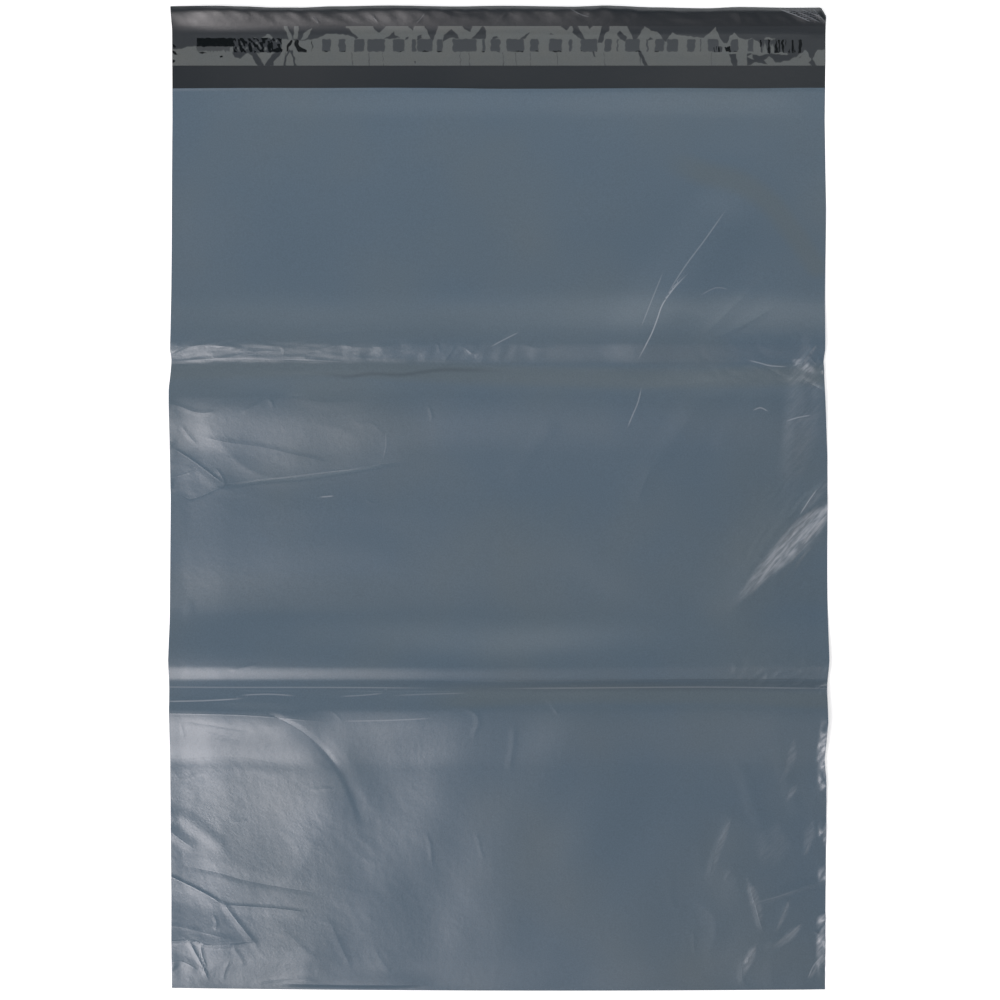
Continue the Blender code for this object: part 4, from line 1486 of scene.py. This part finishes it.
# %% Shapes of the patchwork, in pixels of the photograph
AIR_FRONT = (
    (160, 49), (180, 49), (186, 46.5), (233, 46.5), (240, 42), (254, 37), (260, 38.5), (267, 33.5),
    (273, 38), (283, 39), (301, 41), (317, 38), (325, 34), (331, 33.6), (344, 28), (350, 22),
    (640, 22), (646, 27),
    (651, 31), (657, 31.5), (662, 38), (666, 42), (672, 32), (676, 34.7), (685, 35.8), (703, 38), (711, 32),
    (715.3, 27.4), (717.5, 33), (723, 43.4), (727, 43.4), (730.5, 36), (734.3, 32.3), (739, 38), (745, 40),
    (751, 38), (760, 43), (766, 37), (775, 39), (779, 45), (790, 56),
    (800, 58), (806, 50), (812, 60), (817, 50), (840, 48),
)
CLING_SHAPES = (
    [(245, 51), (251, 56), (256, 66), (262.5, 66), (259, 54), (256, 50)],
    [(268, 50), (273, 53), (266, 61), (263.6, 66), (271.8, 66), (272.3, 61.8), (278, 56), (281, 50)],
    [(231, 52), (233, 57), (238, 59), (243, 56), (246, 51)],
    [(288, 50), (284, 56), (282.4, 66), (284, 66), (285.6, 57), (290, 51)],
    [(289, 51), (292, 58), (293, 66), (295, 66), (293.6, 57), (291, 50)],
    [(330, 26), (344, 26), (357.4, 37.4), (355, 38.6), (347, 35), (330, 33.6)],
    [(371.7, 24), (375, 31), (378.6, 32.6), (389, 24)],
    [(383.7, 38.6), (390.7, 34.7), (392.9, 31.2), (395, 35.8), (399.4, 37.6), (390, 39)],
    [(404.6, 40), (405, 37.4), (408.4, 36.6), (408, 39.6)],
    [(405.9, 24), (409, 28), (412.4, 30.6), (415.6, 24)],
    [(416, 40), (417, 36), (421, 35), (422, 38)],
    [(423.6, 24), (439.4, 24), (431.6, 42)],
    [(443.8, 35.2), (451.4, 29), (459.6, 38.4), (449.2, 38), (442.4, 42)],
    [(460, 24), (465, 29.6), (470.4, 31.6), (473, 24)],
    [(471.4, 38.8), (478, 32), (482.8, 26), (486, 30.4), (485.4, 39)],
    [(492.4, 39.6), (493, 37.2), (496, 36.4), (498.6, 38)],
    [(520, 39), (524, 36), (530, 32.4), (528, 36), (525, 38.6)],
    [(549, 35), (551, 33.6), (554, 34)],
    [(560, 24), (563, 28.6), (566.6, 30.6), (572.5, 24)],
    [(572.5, 24), (577.6, 26), (585.6, 40), (580, 39), (573, 33)],
    [(587.6, 24), (590, 29.4), (594, 24)],
    [(602.8, 24), (610.4, 24), (608.8, 31.4), (605.6, 32.5), (602, 43), (597.6, 42.6), (599, 37.4)],
    [(617, 33.6), (620.7, 31.2), (627, 38), (624.5, 41.6), (619.7, 39)],
    [(626.2, 24), (646, 24), (636.4, 39.6), (633.6, 39.6)],
    [(637.6, 51), (640.6, 51), (648, 66), (644.4, 66)],
    [(591, 49), (593, 49), (596, 57), (594, 56)],
    [(647, 40), (650, 37), (652.6, 40)],
    [(729.4, 54), (736, 54.4), (737.6, 66), (732.4, 66)],
    [(747, 53), (760, 56), (772, 53), (771, 66), (757, 62), (747, 66)],
    [(768, 54), (786, 55), (800, 53), (790, 60), (776, 63)],
    [(806, 66), (812, 58), (817, 66)],
    [(413, 61), (415, 61), (414.6, 64)],
)
AIR_ISLANDS = (
    [(282.4, 24), (286, 26), (291.4, 37), (291.4, 42), (287.5, 39)],
    [(293.8, 24), (298, 24), (296.8, 39), (292.2, 39)],
    [(311.6, 27.4), (307, 38), (300.2, 40.6), (303, 33)],
    [(255, 53), (260, 54), (262, 64)],
    [(747, 57), (752, 54), (754, 60)],
    [(764, 60), (770, 56), (778, 66), (768, 66)],
    [(786, 66), (805, 49.6), (806.6, 51), (790, 66)],
    [(794, 66), (802, 56), (812, 66)],
)
WET_PATCHES = (
    (321.4, 329.8), (338, 345), (353.4, 363.6), (366.9, 384.4), (392.3, 403.8), (411.3, 415.4),
    (416.9, 432), (436.8, 442.4), (452.5, 476.4), (482.3, 485), (490.6, 500), (506.4, 523.8),
    (530.2, 538.6), (549.2, 561.8), (568.8, 572.2), (580.6, 597), (604.6, 611.6), (617, 618.2),
    (625, 639.8), (646.4, 648), (655, 664), (667, 678), (687, 695), (700.2, 701.2),
    (708, 718.5), (731, 738), (748, 753.4),
)
WET_TOP_PX = 39.2
WET_BOTTOM_PX = 51.6
WET_ROUND = 1.6
print(len(CLING_SHAPES), "cling shapes and", len(WET_PATCHES), "wetted patches")


# %% How deep a point is inside a shape: positive inside, negative outside
def polygon_depth(px, py, corners):
    nearest = np.full(px.shape, 99.0)
    inside = np.zeros(px.shape, bool)
    for (ax, ay), (bx, by) in zip(corners, corners[1:] + corners[:1]):
        dx = bx - ax
        dy = by - ay
        share = np.clip(((px - ax) * dx + (py - ay) * dy) / (dx * dx + dy * dy), 0, 1)
        nearest = np.minimum(nearest, np.hypot(px - ax - share * dx, py - ay - share * dy))
        crosses = (ay > py) != (by > py)
        inside ^= crosses & (px < ax + dx * (py - ay) / (dy if dy else 1e-9))
    return np.where(inside, nearest, -nearest)


def box_depth(px, py, x0, x1, y0, y1, round_off):
    """A box with rounded corners."""
    round_off = min(round_off, (x1 - x0) / 2.2)
    ox = np.abs(px - (x0 + x1) / 2) - (x1 - x0) / 2 + round_off
    oy = np.abs(py - (y0 + y1) / 2) - (y1 - y0) / 2 + round_off
    outside = np.hypot(np.maximum(ox, 0), np.maximum(oy, 0))
    return round_off - outside - np.minimum(np.maximum(ox, oy), 0)


# %% Shapes of the bare adhesive and the streaks, in pixels of the photograph
BAR = (195, 233, 38, 46.6)
BAR_FRINGE = (195, 229, 46, 53.4)
BAR_FRINGE_PX = 51.0
BARE_SHAPES = (
    [(285, 51.6), (286.5, 44), (291, 39.6), (291.6, 42), (288, 47), (287, 52)],
    [(294, 40), (297, 40), (299, 47), (306, 50), (306, 53), (297, 51.6), (293.6, 46)],
    [(310.6, 40), (311.4, 40), (312, 47), (311, 52)],
    [(270, 50), (276, 48), (281, 49), (279, 52.4), (271, 52.2)],
    [(196, 52.4), (201, 51.8), (206, 53.2), (199, 53.6)],
    [(171, 44), (175, 46), (174, 47.5), (171, 47)],
    [(170, 50), (174.5, 52), (176, 55), (173, 55), (170, 53)],
    [(170, 59), (173.5, 60), (174, 62), (170, 63)],
    [(218, 56), (221, 55.5), (222, 57.5), (219, 58)],
)
LEFT_SCRIBBLE = (232, 281, 38, 52.6)
RIGHT_SCRIBBLES = ((714, 723, 46.6, 52.4), (725, 735, 46.4, 52), (760, 803, 39.6, 53))
STREAKS_PX = (284, 351, 368, 382, 459.6, 469, 503, 515.6, 530, 557, 604, 640, 711)


def ripple(px, py, size, seed):
    """Smooth noise between -1 and 1 from a few crossed sines."""
    draw = np.random.default_rng(seed)
    total = np.zeros_like(px)
    for _ in range(6):
        angle = draw.uniform(0, 2 * math.pi)
        length = size * draw.uniform(0.6, 1.6)
        phase = draw.uniform(0, 6.3)
        across = px * math.cos(angle) + py * math.sin(angle)
        total += np.sin(2 * math.pi * across / length + phase)
    return total / 3


# %% Wetted patches, and the trapped air
WET_LEAN = 0.06
WET_LEVEL_PX = 45
STREAK_REACH_PX = 0.55
STREAK_LEAN = 0.05
STREAK_LEVEL_PX = 52
STREAK_TOP_PX = 52.5
STREAK_LIMIT = 0.35


def wetted_depth(px, py):
    wet = np.full(px.shape, -FAR)
    for x0, x1 in WET_PATCHES:
        lean = px + WET_LEAN * (py - WET_LEVEL_PX) * math.sin(x0)
        wet = np.maximum(wet, box_depth(lean, py, x0, x1, WET_TOP_PX, WET_BOTTOM_PX, WET_ROUND))
    return wet


def trapped_depth(px, py, wet):
    """Air lies under its wavy front. Cling shapes, wetted patches and thin streaks interrupt it."""
    front = np.interp(px, [p[0] for p in AIR_FRONT], [p[1] for p in AIR_FRONT])
    air = py - front
    for corners in CLING_SHAPES:
        air = np.minimum(air, -polygon_depth(px, py, corners))
    air = np.minimum(air, -wet)
    for corners in AIR_ISLANDS:
        air = np.maximum(air, polygon_depth(px, py, corners))
    for middle in STREAKS_PX:
        streak = STREAK_REACH_PX - np.abs(px - middle - STREAK_LEAN * (py - STREAK_LEVEL_PX))
        air = np.minimum(air, -np.minimum(streak, py - STREAK_TOP_PX) + STREAK_LIMIT)
    return air


# %% Bare adhesive: ragged at both ends, and in small feet under the wetted patches
RAGGED_GAIN = 6
BAR_ROUND = 1.0
RAGGED_ROUND = 1.5
FRINGE_ROUND = 0.6
FRINGE_GAIN = 0.6
TEETH_PX = 2.6
FOOT_ROUND = 0.4


def ragged_ends(px, py, air):
    """Gives back the air and the bare adhesive, with shards at the left and bristles at the right."""
    shards = lattice_noise(px, py, 2.5, 23, 64, 3.4) + 0.35 * lattice_noise(px, py, 2.4, 27, -40, 2.2)
    bristles = lattice_noise(px, py, 2.0, 24, 87, 12.0)
    bare = box_depth(px, py, *BAR, BAR_ROUND)
    for box, noise in [(LEFT_SCRIBBLE, shards)] + [(box, bristles) for box in RIGHT_SCRIBBLES]:
        inside = box_depth(px, py, *box, RAGGED_ROUND)
        bare = np.maximum(bare, np.minimum(inside, RAGGED_GAIN * noise - 0.2))
        left_over = np.clip(-RAGGED_GAIN * noise - 2.0, -0.8, 4)
        air = np.where(inside > 0, np.minimum(air, left_over), air)
    fringe = box_depth(px, py, *BAR_FRINGE, FRINGE_ROUND)
    teeth = BAR_FRINGE_PX + TEETH_PX * lattice_noise(px, py, 2.1, 25, 90, 3.0)
    left_over = np.clip((py - teeth) * FRINGE_GAIN, -0.1, 4)
    air = np.where(fringe > 0, np.minimum(air, left_over), air)
    return air, bare


def bare_spots(px, py, bare):
    for corners in BARE_SHAPES:
        bare = np.maximum(bare, polygon_depth(px, py, corners))
    for x0, x1 in WET_PATCHES:
        foot = box_depth(px, py, x0 - 0.5, x1, WET_BOTTOM_PX - 0.7, WET_BOTTOM_PX + 0.5, FOOT_ROUND)
        bare = np.maximum(bare, np.minimum(foot, 1.6 * ripple(px, py, 17, 26) - 0.6))
    return bare


# %% The whole patchwork
def patchwork(x, s):
    """How deep each point is in the air, in bare adhesive and in a wetted patch, in pixels."""
    px = pixel_across(x) + 0.5 * ripple(x / PIXEL, s / PIXEL, 7, 21)
    py = pixel_down(s) + 0.4 * ripple(x / PIXEL, s / PIXEL, 6, 22)
    wet = wetted_depth(px, py)
    air, bare = ragged_ends(px, py, trapped_depth(px, py, wet))
    return air, bare_spots(px, py, bare), wet


print(len(WET_PATCHES), "wetted patches")


# %% Liner material
HAZE_COOL = (0.086, 0.100, 0.104, 1)
HAZE_WARM = (0.099, 0.107, 0.102, 1)
CLING_COLOUR = (0.022, 0.027, 0.032, 1)
WETTED_COLOUR = (0.037, 0.044, 0.050, 1)
BARE_COLOUR = (0.003, 0.005, 0.006, 1)
HAZE_SCALE = 120.0
LINER_GRAIN_SCALE = 1500.0
ROUGH_CLING = 0.34
ROUGH_AIR = 0.40
BARE_GLOSS = 0.16


def liner_material():
    """Hazy where air is trapped, clear where it clings, and clearest over bare adhesive."""
    material = bpy.data.materials.new("release_liner_film")
    material.use_nodes = True
    tree = material.node_tree
    shader = tree.nodes["Principled BSDF"]
    place = new_node(tree, "ShaderNodeTexCoord").outputs["Object"]
    haze = new_node(tree, "ShaderNodeTexNoise", Vector=place, Scale=HAZE_SCALE, Detail=3.0)
    grain = new_node(tree, "ShaderNodeTexNoise", Vector=place, Scale=LINER_GRAIN_SCALE, Detail=2.0)
    in_air = map_range(tree, attribute(tree, "air_depth"), -0.35, 0.45)
    on_glue = map_range(tree, attribute(tree, "bare_depth"), -0.3, 0.4)
    wetted = map_range(tree, attribute(tree, "wet_depth"), -0.3, 0.4)
    tone = mix_colours(tree, haze.outputs["Fac"], HAZE_COOL, HAZE_WARM)
    grained = multiply_colours(tree, tone, map_range(tree, grain.outputs["Fac"], 0.3, 0.7, 0.93, 1.07))
    dark = mix_colours(tree, wetted, CLING_COLOUR, WETTED_COLOUR)
    clinging = mix_colours(tree, in_air, dark, grained)
    surface = mix_colours(tree, on_glue, clinging, BARE_COLOUR)
    tree.links.new(surface, shader.inputs["Base Color"])
    rough = map_range(tree, in_air, 0.0, 1.0, ROUGH_CLING, ROUGH_AIR)
    smooth = math_node(tree, "MULTIPLY", on_glue, BARE_GLOSS)
    tree.links.new(math_node(tree, "SUBTRACT", rough, smooth), shader.inputs["Roughness"])
    relief = new_node(tree, "ShaderNodeBump", Height=haze.outputs["Fac"], Strength=0.3, Distance=0.1 * MM)
    tree.links.new(relief.outputs["Normal"], shader.inputs["Normal"])
    return material


# %% Liner shell
LINER_STEP = 0.46 * MM
AIR_LIFT = 0.04 * MM
LINER_EASE = 7.0 * MM


def liner_height(x, s):
    """Height of the liner's upper side: down on the lip beside the adhesive, and up over it."""
    inset = np.minimum(s - GLUE_FROM, GLUE_TO - s)
    over = smooth_step(1 + inset / LINER_EASE) * smooth_step((GLUE_HALF - np.abs(x)) / LINER_EASE + 1)
    air = patchwork(x, s)[0]
    trapped = AIR_LIFT * smooth_step(air / 3 + 0.5)
    return lip_height(x, s) + SEAT_GAP + LINER_THICKNESS + over * (GLUE_THICKNESS + SEAT_GAP) + trapped


def make_liner():
    columns = stations(-HALF_WIDTH, HALF_WIDTH, LINER_STEP)
    rows = stations(LINER_FROM, LINER_TO, LINER_STEP)
    x, s, top, normals = ply_layers(rows, columns, liner_height)
    depths = zip(("air_depth", "bare_depth", "wet_depth"), patchwork(x, s))
    masks = {name: np.clip(depth, -4, 4) for name, depth in depths}
    material = liner_material()
    return make_shell("liner", top, lowered(top, LINER_THICKNESS), normals, (material, material), masks)


liner = make_liner()

# %% [markdown]
# ## Riding on the frame
#
# The bag has no joints, so every piece rides on the one body. The film shells stand for the film node,
# and the adhesive and the liner stand for theirs.

# %% Attach the pieces
for piece in front_pieces + back_pieces:
    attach(piece, "root")
    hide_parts("bag_film")
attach(glue, "root")
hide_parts("adhesive_strip")
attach(liner, "root")
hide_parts("release_liner")

# %% [markdown]
# ## Floor, light and camera
#
# The bag lies on a white floor under one large soft light at its lower left, with a little light from
# all round. The floor is lit like the bag, and a part that only the camera sees lifts it to white, so a
# soft shadow stays under the edges. The camera looks straight down from about the height of a copy stand.

# %% Floor
FLOOR_SIZE = 12.0
FLOOR_GAP = 0.05 * MM


def floor_material():
    material = bpy.data.materials.new("pale_floor")
    material.use_nodes = True
    tree = material.node_tree
    tree.nodes.clear()
    out = new_node(tree, "ShaderNodeOutputMaterial")
    diffuse = new_node(tree, "ShaderNodeBsdfDiffuse")
    diffuse.inputs["Color"].default_value = (0.82, 0.82, 0.82, 1)
    rays = new_node(tree, "ShaderNodeLightPath")
    seen = math_node(tree, "MAXIMUM", rays.outputs["Is Camera Ray"], rays.outputs["Is Glossy Ray"])
    seen = math_node(tree, "MAXIMUM", seen, rays.outputs["Is Transmission Ray"])
    glow = new_node(tree, "ShaderNodeEmission", Strength=math_node(tree, "MULTIPLY", seen, 0.55))
    both = new_node(tree, "ShaderNodeAddShader")
    tree.links.new(diffuse.outputs[0], both.inputs[0])
    tree.links.new(glow.outputs[0], both.inputs[1])
    tree.links.new(both.outputs[0], out.inputs["Surface"])
    return material


bm = bmesh.new()
bmesh.ops.create_grid(bm, x_segments=1, y_segments=1, size=FLOOR_SIZE / 2)
bmesh.ops.translate(bm, verts=bm.verts, vec=(0, 0, cad_low.z - FLOOR_GAP))
floor_mesh = bpy.data.meshes.new("floor")
bm.to_mesh(floor_mesh)
bm.free()
floor_mesh.materials.append(floor_material())
floor = bpy.data.objects.new("floor", floor_mesh)
bpy.context.scene.collection.objects.link(floor)

# %% Light
MAIN_DISTANCE = 2.6
MAIN_LEAN = math.radians(36)
MAIN_TURN = math.radians(221)
MAIN_SIZE = (1.3, 1.2)
MAIN_POWER = 54.0
STRIP_DISTANCE = 2.4
STRIP_LEAN = math.radians(42)
STRIP_TURN = math.radians(322)
STRIP_SIZE = (0.5, 0.7)
STRIP_POWER = 5.0
FILL_DISTANCE = 1.3
FILL_LEAN = math.radians(47)
FILL_TURN = math.radians(80)
FILL_SIZE = (1.3, 0.9)
FILL_POWER = 8.5
WORLD_STRENGTH = 0.03


def soft_light(name, lean, turn, distance, size, power, colour):
    data = bpy.data.lights.new(name, "AREA")
    data.shape = "RECTANGLE"
    data.size = size[0]
    data.size_y = size[1]
    data.energy = power
    data.color = colour
    lamp = bpy.data.objects.new(name, data)
    away = Vector((math.sin(lean) * math.cos(turn), math.sin(lean) * math.sin(turn), math.cos(lean)))
    lamp.location = away * distance
    lamp.rotation_mode = "QUATERNION"
    lamp.rotation_quaternion = away.to_track_quat("Z", "Y")
    bpy.context.scene.collection.objects.link(lamp)
    return lamp


soft_light("main_softbox", MAIN_LEAN, MAIN_TURN, MAIN_DISTANCE, MAIN_SIZE, MAIN_POWER, (1.0, 0.945, 0.955))
soft_light("right_strip", STRIP_LEAN, STRIP_TURN, STRIP_DISTANCE, STRIP_SIZE, STRIP_POWER, (1.0, 0.96, 0.97))
soft_light("top_fill", FILL_LEAN, FILL_TURN, FILL_DISTANCE, FILL_SIZE, FILL_POWER, (0.96, 0.98, 1.0))

world = bpy.data.worlds.new("studio")
bpy.context.scene.world = world
world.use_nodes = True
background = world.node_tree.nodes["Background"]
background.inputs["Color"].default_value = (0.95, 0.97, 1.0, 1)
background.inputs["Strength"].default_value = WORLD_STRENGTH

# %% Camera
CAMERA_HEIGHT = 1.8
PHOTO_PX = 1000
SENSOR = 36.0
camera_data = bpy.data.cameras.new("camera")
camera_data.sensor_width = SENSOR
camera_data.lens = SENSOR * CAMERA_HEIGHT / (PHOTO_PX * PIXEL)
camera = bpy.data.objects.new("camera", camera_data)
middle_x, middle_s = at(PHOTO_PX / 2, PHOTO_PX / 2)
camera.location = (middle_x, BOTTOM + middle_s, CAMERA_HEIGHT)
bpy.context.scene.collection.objects.link(camera)
bpy.context.scene.camera = camera
bpy.context.scene.view_settings.view_transform = "Standard"
print(f"lens {camera_data.lens:.1f} mm")
